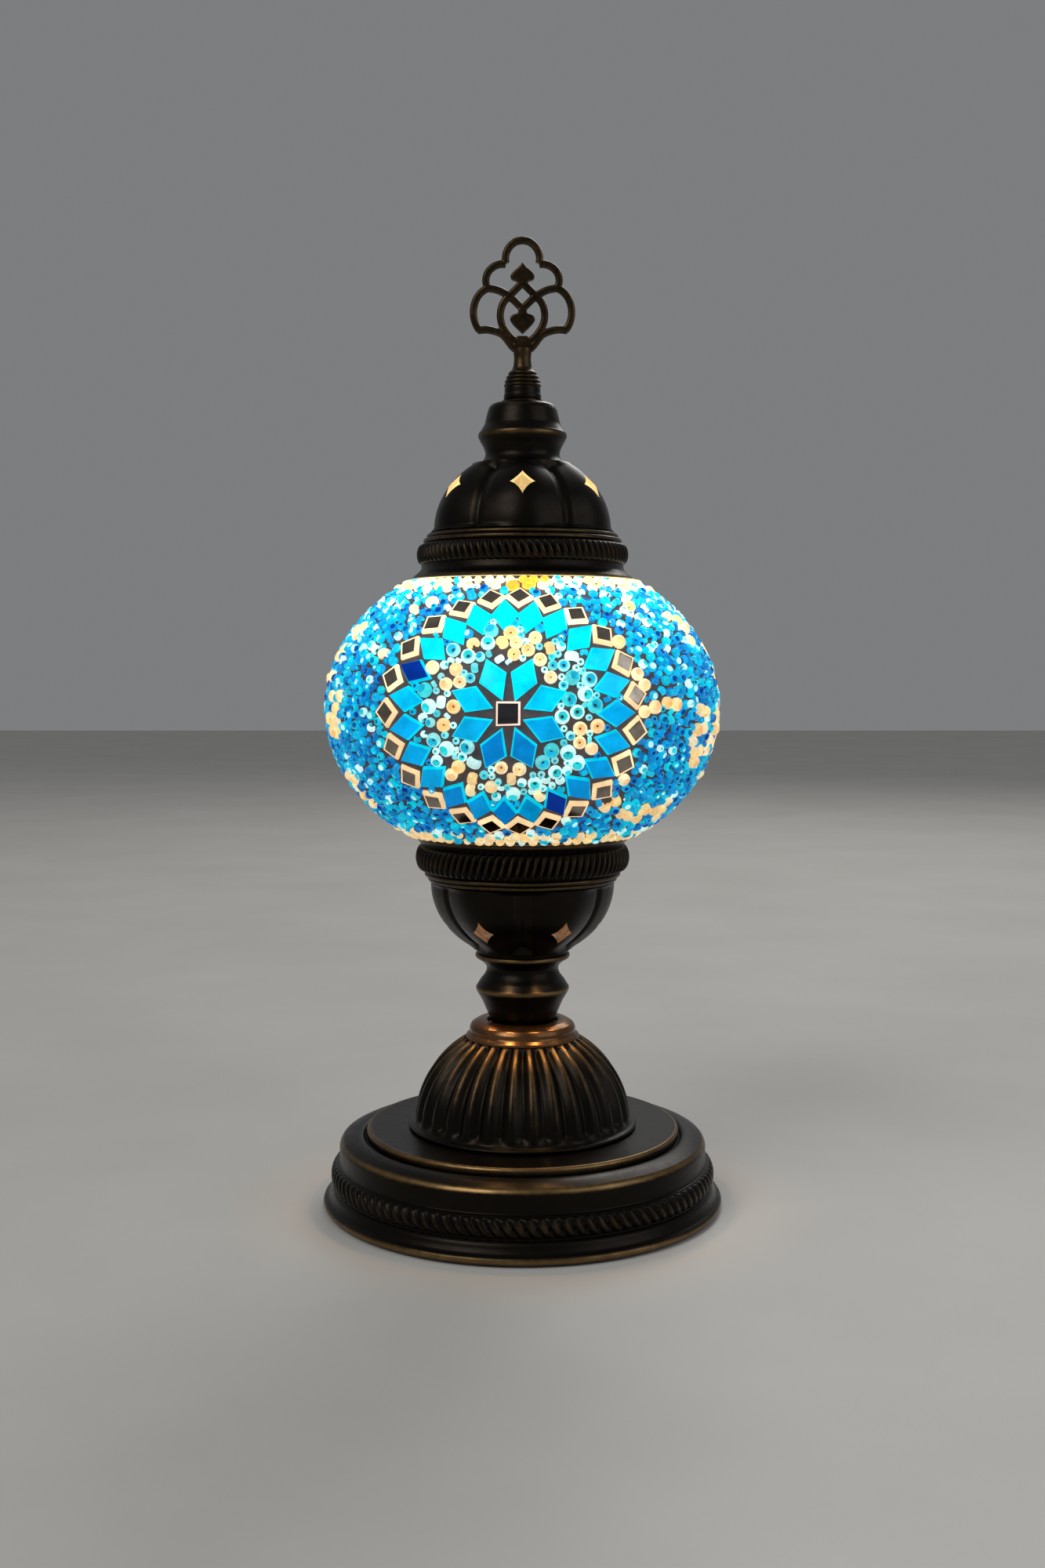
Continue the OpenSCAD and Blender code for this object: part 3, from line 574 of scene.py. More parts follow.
def make_dome():
    """The gadrooned dome, with thirty rounded ribs that meet under the collar."""
    ribs = 30
    rib_depth = 1.75
    foot_z = PLATE_Z + 1.1
    wall = 2.4
    dome_b = (DOME_TOP - foot_z) / sqrt(1 - (COLLAR_R / DOME_R) ** 2)
    end = degrees(asin((DOME_TOP - foot_z) / dome_b))
    bead = arc(DOME_R + 0.5, PLATE_Z + 0.85, 1.5, 0.8, -85, 90, 8)
    skin = arc(0, foot_z, DOME_R, dome_b, 2.0, end, 44)
    lining = arc(0, foot_z, DOME_R - wall, dome_b - wall, end, 0, 16)
    line = (
        bead
        + skin
        + [(COLLAR_R - 1.5, DOME_TOP), (PIPE_HOLE, DOME_TOP), (PIPE_HOLE, DOME_TOP - wall)]
        + [(x, min(z, DOME_TOP - wall)) for x, z in lining]
        + [(DOME_R - wall, PLATE_Z + 0.05)]
    )

    def relief(angle, i):
        """How far the ribs are out at an outline point, and the wave across them."""
        t = (i - len(bead)) / (len(skin) - 1)
        if t < 0 or t > 1:
            return 0.0, 0.0
        ends = min(1.0, t / 0.06, (1.0 - t) / 0.05 + 0.25)
        return ends, (0.5 + 0.5 * cos(ribs * angle)) ** 0.75

    def shape(r, z, angle, i):
        ends, wave = relief(angle, i)
        depth = rib_depth * ends * (1 - wave)
        return sunk(r, z, depth, r / DOME_R, (z - foot_z) / dome_b)

    def wear_and_sheen(i, angle):
        ends, wave = relief(angle, i)
        top = max(0.0, (line[i][1] - PLATE_Z) / (DOME_TOP - PLATE_Z))
        # The ridges are painted brighter towards the top of the dome: a painted highlight of the warm glow
        # from the cup's stars.
        return ends * max(0.0, wave * 1.5 - 0.75) * (0.12 + 1.05 * top**2)

    lathe("dome_fluted", line, "stand", ("fluted_dome",), ribs * 16, wear_and_sheen, shape, crease=60)


def sunk(r, z, depth, across, up):
    """A point of an outline moved inwards, against the direction (across, up)."""
    size = hypot(across, up)
    return r - depth * across / size, z - depth * up / size


def make_collar():
    """The stepped collar between the dome and the lower neck."""
    r = COLLAR_R
    z = DOME_TOP
    outer = rounded([
        (r - 0.1, z + 0.02), (r, z + 0.7), (r - 1.2, z + 1.7), (r - 1.4, z + 2.3), (r - 1.2, z + 3.1),
        (r - 1.9, z + 4.6), (r - 4.0, z + 5.8), (r - 6.5, z + 6), (r - 7.2, z + 5.6),
        (r - 7.4, z + 4.05), (PIPE_HOLE, z + 4.05),
    ], 0.55, 4)

    # The outer faces are painted evenly bright: a painted reflection of the glow from the cup's stars.
    def wear_and_sheen(i, angle):
        return 0.45 if i < len(outer) * 0.75 else 0.1

    lathe("collar_stepped", outer + [(PIPE_HOLE, z + 0.02)], "stand", ("collar_ring",), 256, wear_and_sheen,
          slot="copper_glow", materials=[COPPERY_WITH_PAINTED_GLOW])


def make_lower_neck():
    """The turned waist: a cone, a sharp ridge, a cove and a lip under the cup."""
    z = NECK_Z
    cone = [(10.4, z), (10.5, z + 1.0), (11.0, z + 2.4), (12.3, z + 5.6), (13.7, z + 8.8), (15.2, z + 11.3)]
    cove = [(14.1, z + 15.3), (12.7, z + 17.1), (12.0, z + 19.0), (12.5, z + 20.6), (14.3, z + 22.2)]
    outer = rounded(
        through(cone, 4)
        + arc(14.3, z + 12.5, 1.3, 1.4, -35, 50, 6)
        + through(cove, 4)
        + arc(14.6, z + 23.6, 1.25, 1.1, -60, 80, 6)
        + [(14.9, CUP_FLOOR - 0.9), (15.4, CUP_FLOOR)],
        0.25, 2,
    )
    inner = [
        (14.0, CUP_FLOOR), (13.2, z + 23), (10.8, z + 19), (13.7, z + 12.5),
        (9.4, z + 3), (9.2, z + 1.2), (PIPE_HOLE, z + 1.2), (PIPE_HOLE, z),
    ]
    wear_and_sheen = rubbed_at(outer, ((z + 12.5, 0.9, 0.7), (z + 23.7, 0.9, 0.7)))
    lathe("neck_turned", outer + inner, "stand", ("lower_neck",), 256, wear_and_sheen)


BODY_R = CAP_R - 4.6
BODY_H = 26.0
CAP_H = CAP_TOP - CAP_LIP
BODY_FROM = CAP_H - 21.9
LOBES = 6
STAR_H = 14.2


def star_cutter(turn, flipped, base_z):
    """Six prisms with a four-pointed star outline that go through the wall of the cap."""
    half = 4.0
    sharp = 2.5
    longer, shorter = 1.3, 1.1
    steps = 64
    tilt = asin(STAR_H / BODY_H)
    middle = Vector((BODY_R * cos(tilt), 0, BODY_FROM + STAR_H))
    normal = Vector((cos(tilt) / BODY_R, 0, sin(tilt) / BODY_H)).normalized()
    side = Vector((0, 1, 0))
    up = normal.cross(side)
    vertices, faces = [], []
    for lobe in around(LOBES):
        spin = Matrix.Rotation(turn + lobe, 3, "Z")
        start = len(vertices)
        for depth in (-4.5, 4.5):
            for a in around(steps):
                x = signed_power(cos(a), sharp) * half
                y = signed_power(sin(a), sharp) * half
                y *= longer if y > 0 else shorter
                p = spin @ (middle + normal * depth + side * x + up * -y)
                vertices.append((p.x, p.y, base_z - p.z if flipped else base_z + p.z))
        faces += [[start + k for k in face] for face in tube_faces(2, steps)]
    return vertices, faces


def make_stamping(name, replaced, body, base_z, flipped, hole_r, turn, rope, flare):
    """The lobed cap or cup: lip, rope band, two fine beads and six lobes with a star hole in each."""
    rope_h, rope_half, rope_bulge = rope
    wall = 1.25
    end = degrees(asin((CAP_H - BODY_FROM) / BODY_H))
    inner_end = degrees(asin((CAP_H - BODY_FROM - wall) / (BODY_H - wall)))
    neck_r = CAP_R - 2.1
    lip = [(CAP_R - 0.5 + flare, 0.02), (CAP_R + flare, 0.4), (CAP_R - 0.3 + 0.7 * flare, 1.2),
           (CAP_R - 1.3 + 0.3 * flare, 2.4), (CAP_R - 1.9, 3.6)]
    lower = (
        rounded(lip, 0.5, 3)
        + [(neck_r, rope_h), (neck_r, 11.6)]
        + arc(CAP_R - 3.4, 12.7, 0.85, 0.85, -60, 80, 6)
        + arc(CAP_R - 4.5, 14.3, 0.8, 0.8, -50, 85, 6)
        + [(BODY_R - 1.2, 15.3)]
    )
    skin = arc(0, BODY_FROM, BODY_R, BODY_H, -1, end, 44)
    top_r = BODY_R * cos(radians(end)) - 1.2
    outer = lower + skin + [(top_r, CAP_H), (hole_r, CAP_H)]
    lining = arc(0, BODY_FROM, BODY_R - wall, BODY_H - wall, inner_end, -1, 44)
    inner = [(hole_r, CAP_H - wall)] + lining + [
        (BODY_R - 3.2, 13.6), (CAP_R - 3.3, 11), (CAP_R - 3.3, 3.2), (CAP_R - 1.8, 0.8), (CAP_R - 1.8, 0.02)]
    skin_from = len(lower)
    lining_from = len(outer) + 1
    last = len(skin) - 1

    def share(i):
        """How far up the lobes an outline point is, or None outside them."""
        if 0 <= i - skin_from <= last:
            return (i - skin_from) / last
        if 0 <= i - lining_from <= last:
            return 1 - (i - lining_from) / last
        return None

    def from_crease(angle, t):
        """The angle and the distance to the nearest crease between two lobes."""
        off = (angle - turn + TAU / LOBES / 2) % (TAU / LOBES)
        off = min(off, TAU / LOBES - off)
        return off, off * BODY_R * cos(radians(max(0, end * t)))

    def shape(r, z, angle, i):
        t = share(i)
        if t is not None:
            off, reach = from_crease(angle, t)
            ends = min(1.0, (t + 0.01) / 0.05, (1.0 - t) / 0.06)
            depth = ends * (1.75 * cos(off * LOBES / 2) ** 2 + 0.85 * bell(reach, 1.5))
            r, z = sunk(r, z, depth, r / BODY_R**2, (z - BODY_FROM) / BODY_H**2)
        return r, (base_z - z) if flipped else (base_z + z)

    def wear_and_sheen(i, angle):
        if i >= len(outer):
            return 0.0
        t = share(i)
        if t is not None:
            return 0.22 * bell(from_crease(angle, t)[1] - 2.6, 0.7)
        return 0.5 * max(bell(outer[i][1] - edge, 0.6) for edge in (0.8, 12.7, 14.4))

    finishes = [ANTIQUE, CUP_INSIDE if flipped else CAP_INSIDE]
    piece = lathe(name, outer + inner, body, replaced, 432, wear_and_sheen, shape, materials=finishes,
                  inner_from=len(outer), crease=50)
    # The star holes' walls take the lining's painted bulb light.
    cut(piece, *star_cutter(turn, flipped, base_z), 1)
    rope_z, slant = (base_z - rope_h, -0.5) if flipped else (base_z + rope_h, 0.5)
    rope_band(name + "_rope", neck_r, rope_z, rope_half, rope_bulge, 86, slant, body)


def make_upper_neck():
    """The turned neck on the cap: a cove, a rounded ridge and a stepped top."""
    z = CAP_TOP
    top = UPPER_NECK_TOP
    cove = [(14.6, z), (13.6, z + 0.5), (12.5, z + 2.0), (12.25, z + 3.6), (12.9, z + 5.6), (13.9, z + 7.4)]
    taper = [(13.3, z + 11.4), (12.5, z + 12.8), (12.1, z + 14.4), (11.7, z + 16), (11.3, z + 17.5)]
    outer = rounded(
        through(cove, 4)
        + arc(13.3, z + 9.2, 1.25, 1.5, -40, 60, 6)
        + through(taper, 4)
        + [(10.7, z + 18.8), (9.6, top), (STUD_R, top)],
        0.35, 3,
    )
    inner = [(STUD_R, top - 1.3), (9.0, top - 1.8), (9.8, z + 14), (11.8, z + 9), (10.9, z + 4),
             (12.6, z + 0.02)]
    wear_and_sheen = rubbed_at(outer, ((z + 9.2, 1.0, 0.55), (z + 18.6, 0.8, 0.33)))
    lathe("upper_neck_turned", outer + inner, "cap", ("upper_neck",), 256, wear_and_sheen)


def make_knob():
    """The finial's knob: a short drum, a tapering shoulder with fine rings, and a stem."""
    r = KNOB_R
    z = KNOB_Z
    stem_top = CREST_Z + 0.3
    drum = [(r - 0.5, z + 0.02), (r, z + 0.5), (r, z + 1.8), (r - 0.25, z + 2.3), (r - 0.25, z + 3.9),
            (r - 0.4, z + 4.3)]
    stem = [(3.7, z + 9.8), (3.1, z + 11), (2.8, z + 13.5), (2.95, z + 15.6), (2.95, stem_top)]
    rings = []
    for k in range(4):
        ring_r = r - 0.1 - 0.14 * k - 0.11 * k * k
        rings += arc(ring_r - 0.45, z + 4.9 + 1.3 * k, 0.5, 0.5, -70, 70, 5)
    hole = [(0, z + 5.9), (STUD_R, z + 5.9), (STUD_R, z + 0.02)]
    line = hole + rounded(drum, 0.3, 3) + rings + through(stem, 4) + [(0, stem_top)]

    def wear_and_sheen(i, angle):
        if i < len(hole):
            return 0.0
        return 0.35 if line[i][1] > z + 4.5 else 0.15

    lathe("knob_ringed", line, "finial", ("finial_knob",), 128, wear_and_sheen)


def sweep_bar(points, width, depth):
    """Vertices and faces of a bar with rounded sides along a path in the XZ plane."""
    sides = 12
    vertices = []
    path = [Vector((x, 0, z)) for x, z in points]
    for before, p, after in zip(path[:1] + path, path, path[1:] + path[-1:]):
        tangent = after - before
        across = Vector((-tangent.z, 0, tangent.x)).normalized()
        for k in range(sides):
            a = TAU * (k + 0.5) / sides
            x = signed_power(cos(a), 0.7) * width / 2
            y = signed_power(sin(a), 0.7) * depth / 2
            vertices.append(p + across * x + Vector((0, y, 0)))
    return vertices, tube_faces(len(path), sides)


def slab(points, depth):
    """Vertices and faces of a flat plate with a bevelled edge, from an outline in the XZ plane."""
    centre = Vector((sum(p[0] for p in points), sum(p[1] for p in points))) / len(points)
    bevel = 0.3
    vertices = []
    for y, size in ((-depth / 2, 0.86), (-depth / 2 + bevel, 1), (depth / 2 - bevel, 1), (depth / 2, 0.86)):
        for p in points:
            q = centre + (Vector(p) - centre) * size
            vertices.append(Vector((q.x, y, q.y)))
    return vertices, tube_faces(4, len(points))


def make_crest():
    """The openwork crest, cast in one piece: its bars and spades are fused and softened."""
    half_w = CREST_R
    height = CREST_TOP - CREST_Z
    bar = 2.45
    thick = 2.8
    edge = 1.05

    def at(*shares):
        """Places from shares of the crest's half width and height."""
        return [(x * half_w, z * height) for x, z in shares]

    right = [
        arc(0, 0.81 * height, 0.325 * half_w, 0.19 * height - edge, -14, 62, 12)
        + through(at((0.17, 0.952), (0.09, 0.966), (0, 0.972), (-0.06, 0.968)), 3),
        arc(0.375 * half_w, 0.617 * height, 0.325 * half_w, 0.145 * height, -28, 100, 16),
        arc(0.56 * half_w, 0.333 * height, 0.44 * half_w - edge, 0.222 * height, -46, 75, 20),
        through(at((0.86, 0.172), (0.68, 0.178), (0.5, 0.16), (0.36, 0.125), (0.2, 0.03), (0.12, 0.0)), 5),
        through(at((0.67, 0.548), (0.47, 0.53), (0.26, 0.478), (0.1, 0.41), (-0.04, 0.345)), 5),
        through(at((-0.02, 0.035), (0.14, 0.075), (0.27, 0.13), (0.385, 0.215), (0.425, 0.31),
                   (0.375, 0.41), (0.25, 0.48), (0.1, 0.55), (-0.03, 0.61)), 5),
    ]
    spades = [
        through(at((0.09, 0.55), (0.09, 0.6), (0.2, 0.622), (0.23, 0.655), (0.18, 0.69), (0.07, 0.735),
                   (0, 0.775)), 4),
        through(at((0.09, 0.37), (0.09, 0.325), (0.2, 0.305), (0.24, 0.268), (0.18, 0.222), (0.07, 0.17),
                   (0, 0.14)), 4),
        at((0.18, 0.0), (0.17, 0.06), (0.1, 0.12)),
    ]
    shapes = []
    for path in right:
        shapes += [sweep_bar(path, bar, thick), sweep_bar([(-x, z) for x, z in path], bar, thick)]
    for half in spades:
        shapes.append(slab(half + [(-x, z) for x, z in reversed(half) if x], thick))
    vertices, faces = [], []
    for points, corners in shapes:
        faces += [[len(vertices) + k for k in face] for face in corners]
        vertices += [(v.x, v.y, v.z + CREST_Z) for v in points]
    piece = add_to_scene("crest_openwork", new_mesh("crest", vertices, faces))
    fix_normals(piece)
    remesh = piece.modifiers.new("fuse", "REMESH")
    remesh.mode = "VOXEL"
    remesh.voxel_size = 0.19 * MM
    smooth = piece.modifiers.new("soften", "SMOOTH")
    smooth.factor = 0.5
    smooth.iterations = 4
    apply_modifiers(piece)
    piece.data.shade_smooth()
    piece.data.materials.append(ANTIQUE)
    paint_wear_and_sheen(piece, [0.1 + 0.35 * (1 - abs(abs(v.normal.y) - 0.7) / 0.7) for v in piece.data.vertices])
    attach(piece, "finial")
    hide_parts("finial_crest")


# ---- mosaic

ROSETTES = 3
ROSETTE_TURN = radians(-3.75)
PETALS = 8
PETAL_RING = 11.6
RING_TILES = 23
DIAMOND_RING = 33.0
MIRROR_RING = 40.0
STAR_REACH = 15.5
ROSETTE_REACH = 27.5
TILE_T = 1.3
CLIP = GLOBE_HALF - 1.2

CYAN = (0.0, 0.60, 0.74)
AZURE = (0.0, 0.33, 0.68)
BLUE = (0.0, 0.15, 0.46)
DEEP = (0.0, 0.155, 0.46)
NAVY = (0.0, 0.02, 0.20)
CREAM = (1.0, 0.66, 0.27)
PALE_CREAM = (1.0, 0.82, 0.52)
AMBER = (1.0, 0.36, 0.03)
CLEAR = (0.66, 1.0, 0.96)
AQUA = (0.02, 0.62, 0.66)
PINK = (0.95, 0.62, 0.50)
SILVER = (0.10, 0.075, 0.055)
NEARLY_BLACK = (0.004, 0.005, 0.008)


def skin_point(lat, lon):
    """A place on the grout and the directions east, north and out of it there."""
    r = SKIN_A * cos(lat)
    turn = lon - TAU / 4
    x, y = cos(turn), sin(turn)
    place = Vector((r * x, r * y, GLOBE_Z + SKIN_B * sin(lat)))
    out = Vector((x * cos(lat) / SKIN_A, y * cos(lat) / SKIN_A, sin(lat) / SKIN_B)).normalized()
    east = Vector((-y, x, 0))
    return place, east, out.cross(east), out


def on_rosette(rosette, distance, direction):
    """The place and directions for a tile at a distance and a direction from a rosette's centre."""
    lat = distance * sin(direction) / ((SKIN_A + 4 * SKIN_B) / 5)
    lon = distance * cos(direction) / (SKIN_A * cos(lat / 2))
    heading = direction - lon * sin(lat) / 2
    place, east, north, out = skin_point(lat, ROSETTE_TURN + rosette * TAU / ROSETTES + lon)
    ahead = east * cos(heading) + north * sin(heading)
    return place, ahead, out.cross(ahead), out


class Batch:
    """Collects many small closed shapes into one mesh with a colour and a finish per face."""

    def __init__(self):
        self.vertices = []
        self.faces = []
        self.tints = []
        self.kinds = []

    def add(self, vertices, faces, tints, kinds=None):
        start = len(self.vertices)
        self.vertices.extend(vertices)
        self.faces.extend([[start + k for k in face] for face in faces])
        self.tints.extend(tints)
        self.kinds.extend(kinds or [0] * len(faces))

    def build(self, name, replaced, slot, materials, crease=25):
        piece = new_object(name, self.vertices, self.faces, "globe", replaced, slot, materials, crease)
        flat = [c for face, tint in zip(self.faces, self.tints) for _ in face for c in (*tint, 1)]
        piece.data.attributes.new("tint", "FLOAT_COLOR", "CORNER").data.foreach_set("color", flat)
        piece.data.polygons.foreach_set("material_index", self.kinds)


def vary(colour, amount):
    """A colour made a little lighter or darker."""
    k = 1 + uniform(-amount, amount)
    return tuple(min(1.0, max(0.0, c * k)) for c in colour)


def blend(a, b, share):
    """A colour between two others."""
    share = min(1.0, max(0.0, share))
    return tuple(x + (y - x) * share for x, y in zip(a, b))


def glass_colour(direction):
    """Blue glass: cyan above the rosette's centre, where more light comes through, and deep below."""
    height = sin(direction)
    shade = blend(AZURE, CYAN, height) if height > 0 else blend(AZURE, DEEP, -height)
    return blend(shade, CYAN, uniform(-0.05, 0.2))


def kite(length, width, widest=0.05):
    """A petal's outline: its long point faces the rosette's centre."""
    return [(length / 2, 0), (length * widest, width / 2), (-length / 2, 0), (length * widest, -width / 2)]


def rhombus(length, width):
    """A diamond's outline."""
    return kite(length, width, 0.0)


PLACED_TILES = []


def add_tile(batch, at, outline, top, edge, bevel, mirror=False):
    """One piece of cut glass: sloping ground edges, a raised flat top, set into the grout."""
    place, ahead, side, out = at
    wobble = [(x + uniform(-0.2, 0.2), y + uniform(-0.2, 0.2)) for x, y in outline]
    count = len(wobble)
    cx = sum(p[0] for p in wobble) / count
    cy = sum(p[1] for p in wobble) / count
    tilt_x, tilt_y = uniform(-0.03, 0.03), uniform(-0.03, 0.03)
    vertices = []
    levels = ((0.0, -0.9), (0.0, TILE_T * 0.45), (0.28, TILE_T * 0.78), (bevel, TILE_T),
              (bevel * 1.5, TILE_T * 1.02))
    for inset, height in levels:
        for x, y in wobble:
            k = max(0.2, 1 - inset / hypot(x - cx, y - cy))
            px, py = cx + (x - cx) * k, cy + (y - cy) * k
            h = height + (px * tilt_x + py * tilt_y if height > 0 else 0)
            vertices.append(place + ahead * px + side * py + out * h)
    last = list(range(len(vertices) - count, len(vertices)))
    vertices.append(place + ahead * cx + side * cy + out * (TILE_T * 1.06))
    faces = tube_faces(len(levels), count)[:-1]
    faces += [[a, b, len(vertices) - 1] for a, b in zip(last, last[1:] + last[:1])]
    is_top = [False] * (3 * count) + [True] * count + [False] + [True] * count
    batch.add(vertices, faces, [top if t else edge for t in is_top], [mirror and t for t in is_top])
    PLACED_TILES.append((place, ahead, side, wobble))


def make_tiles():
    """The four kinds of cut pieces in each rosette."""
    centres, petals, diamonds, mirrors = Batch(), Batch(), Batch(), Batch()
    for r in range(ROSETTES):
        middle = on_rosette(r, 0.0, radians(45))
        add_tile(centres, middle, rhombus(9.9, 9.9), NEARLY_BLACK, PINK, 0.75, True)
        for i in range(PETALS):
            direction = (i + 0.5) * TAU / PETALS
            at = on_rosette(r, PETAL_RING, direction)
            colour = glass_colour(direction)
            add_tile(petals, at, kite(13.6, 8.5), colour, blend(colour, CYAN, 0.8), 0.6)
        for direction in around(RING_TILES):
            at = on_rosette(r, DIAMOND_RING + uniform(-0.3, 0.3), direction)
            colour = glass_colour(direction)
            if random() < 0.09:
                colour = NAVY
            add_tile(diamonds, at, rhombus(12.6, 8.1), colour, blend(colour, CYAN, 0.7), 0.5)
        for i in range(RING_TILES):
            at = on_rosette(r, MIRROR_RING + uniform(-0.25, 0.35), (i + 0.5) * TAU / RING_TILES)
            silver = vary(SILVER, 0.7)
            add_tile(mirrors, at, rhombus(8.9, 8.9), silver, vary(blend(CREAM, PINK, 0.3), 0.2), 1.25, True)
    centres.build("mosaic_centres", ("rosette_centres",), "mirror_dark", [TILE_GLASS, BLACK_MIRROR])
    petals.build("mosaic_petals", ("rosette_petals",), "turquoise_glass", [TILE_GLASS])
    diamonds.build("mosaic_diamonds", ("rosette_diamonds",), "blue_glass", [TILE_GLASS])
    mirrors.build("mosaic_mirrors", ("mirror_tiles",), "mirror_clear", [TILE_GLASS, MIRROR])


def on_a_tile(place, reach):
    """True if a bead of this radius would lie on a tile."""
    longest = 12
    for centre, ahead, side, outline in PLACED_TILES:
        d = place - centre
        if d.length > longest:
            continue
        x, y = d.dot(ahead), d.dot(side)
        outside = max(
            ((x - ax) * (by - ay) - (y - ay) * (bx - ax)) / hypot(bx - ax, by - ay)
            for (ax, ay), (bx, by) in zip(outline, outline[1:] + outline[:1])
        )
        if outside < reach * 0.85:
            return True
    return False


def bead_shape(place, axis, size, hole):
    """A short glass tube with rounded ends: a ring bead. Also says which faces line its hole."""
    sides, across = (14, 8) if size > 2.9 else (10, 6)
    helper = Vector((0, 0, 1)) if abs(axis.z) < 0.8 else Vector((1, 0, 0))
    u = axis.cross(helper).normalized()
    v = axis.cross(u)
    middle = (size + hole) / 4
    thick = (size - hole) / 4
    half_length = size * 0.33
    vertices, faces, lining = [], [], []
    for k, a in enumerate(around(sides)):
        direction = u * cos(a) + v * sin(a)
        here, there = k * across, (k + 1) % sides * across
        for j, b in enumerate(around(across)):
            n = (j + 1) % across
            rise = axis * (half_length * sin(b))
            vertices.append(place + direction * (middle + thick * cos(b)) + rise)
            faces.append([here + j, there + j, there + n, here + n])
            lining.append(cos(TAU * (j + 0.5) / across) < -0.3)
    return vertices, faces, lining


class Packing:
    """Beads on the grout, kept apart with a grid of cells."""

    cell = 5.0

    def __init__(self):
        self.grid = {}
        self.beads = []

    def key(self, place):
        return tuple(int(c // self.cell) for c in place)

    def free(self, place, r, overlap):
        x, y, z = self.key(place)
        for i, j, k in itertools.product((-1, 0, 1), repeat=3):
            for q, s in self.grid.get((x + i, y + j, z + k), ()):
                if (place - q).length < (r + s) * overlap:
                    return False
        return True

    def put(self, spot, size, zone, colour):
        self.grid.setdefault(self.key(spot[0]), []).append((spot[0], size / 2))
        self.beads.append((*spot, size, zone, colour))


CENTRES = [skin_point(0, ROSETTE_TURN + r * TAU / ROSETTES)[0] for r in range(ROSETTES)]


def zone_of(place):
    """Which part of the pattern a place belongs to."""
    if abs(place.z - GLOBE_Z) > CLIP - 2.4:
        return "edge"
    away = min((place - c).length for c in CENTRES)
    if away < STAR_REACH:
        return "star"
    return "rosette" if away < ROSETTE_REACH else "field"


def lay_edge_rows(packing):
    """A regular row of beads along both edges of the globe, amber at the top in front."""
    count = round(TAU * EDGE_R / 3.15)
    for up in (-1, 1):
        lat = up * asin((GLOBE_HALF - 0.95) / SKIN_B)
        for k in range(count):
            lon = (k + uniform(-0.12, 0.12)) * TAU / count
            size = uniform(2.9, 3.25)
            colour = AMBER if up > 0 and abs(k - 0.5) < 2 else None
            packing.put(skin_point(lat, lon), size, "edge", colour)


def cluster_spots():
    """Where the cream beads gather: a place, a reach and a colour for each cluster."""
    spots = [(skin_point(asin(CLIP * 0.97 / SKIN_B), 0.02)[0], 4.5, AMBER)]
    for _ in range(150):
        lat = asin(uniform(-0.82, 0.82) * CLIP / SKIN_B)
        place = skin_point(lat, uniform(0, TAU))[0]
        reach = uniform(3.5, 6.5) if zone_of(place) == "rosette" else uniform(1.5, 4.0)
        spots.append((place, reach, CREAM))
    return spots


# Where beads go, their size, how many places are tried, and how close two may come.
PASSES = (
    ("cream", 4.3, 26000, 0.9),
    ("rosette", 4.7, 9000, 0.93),
    ("rosette", 4.0, 9000, 0.93),
    ("edge", 3.6, 9000, 0.88),
    ("rosette", 3.1, 9000, 0.9),
    ("field", 3.1, 12000, 0.9),
    ("field", 2.7, 26000, 0.88),
    ("any", 2.3, 34000, 0.86),
)


def pack_beads():
    """Cream beads in clusters first, then the coloured ones, large to small, into what is left."""
    packing = Packing()
    lay_edge_rows(packing)
    spots = cluster_spots()
    for kind, usual_size, tries, overlap in PASSES:
        for _ in range(tries):
            lat = asin(uniform(-CLIP, CLIP) / SKIN_B)
            spot = skin_point(lat, uniform(0, TAU))
            place, zone = spot[0], zone_of(spot[0])
            if zone == "star" or (kind not in ("any", "cream") and kind != zone):
                continue
            colour = None
            if kind == "cream":
                colour = next((c for q, reach, c in spots if (place - q).length < reach), None)
                if not colour:
                    continue
            size = usual_size * uniform(0.93, 1.04)
            if packing.free(place, size / 2, overlap) and not on_a_tile(place, size / 2):
                packing.put(spot, size, zone, colour)
    return packing.beads


def bead_colours(zone, given, height):
    """The kind, the body colour and the colour at the hole of one bead. In the field, higher beads are
    painted more turquoise as painted light. Some holes get painted shade in navy, and others get painted
    highlights in clear and cyan.
    """
    chance = random()
    if given:
        body = blend(given, PALE_CREAM, random()) if given is CREAM else given
        return "cream", body, blend(body, AMBER, 0.35)
    if zone == "edge" and chance < 0.72:
        return "cream", blend(CREAM, PALE_CREAM, random()), CREAM
    if zone == "rosette":
        if chance < 0.45:
            return "turquoise", CLEAR, AQUA
        return "turquoise", blend(AQUA, CLEAR, uniform(0.0, 0.55)), blend(AQUA, AZURE, 0.5)
    # Painted light: higher beads are more often turquoise than blue.
    bright = max(0.0, height)
    if chance < 0.5 - 0.3 * bright:
        body = blend(BLUE, AZURE, random())
        # Navy holes are painted shade, and cyan holes are painted highlights.
        return "blue", body, blend(body, choice([NAVY, NAVY, CYAN]), 0.85)
    if chance < 0.94 - 0.16 * bright:
        body = blend(AZURE, CYAN, random())
        # Navy holes are painted shade, and clear holes are painted highlights.
        return "turquoise", body, blend(body, choice([NAVY, body, CLEAR]), 0.75)
    return "turquoise", CLEAR, AQUA


def bead_axis(east, north, out):
    """How deep a bead sits and which way its hole points: one in four lies on its side."""
    if random() < 0.25:
        a = uniform(0, TAU)
        axis = east * cos(a) + north * sin(a) + out * uniform(-0.2, 0.5)
        return 0.3, axis.normalized()
    axis = out + east * uniform(-0.3, 0.3) + north * uniform(-0.3, 0.3)
    return 0.5, axis.normalized()


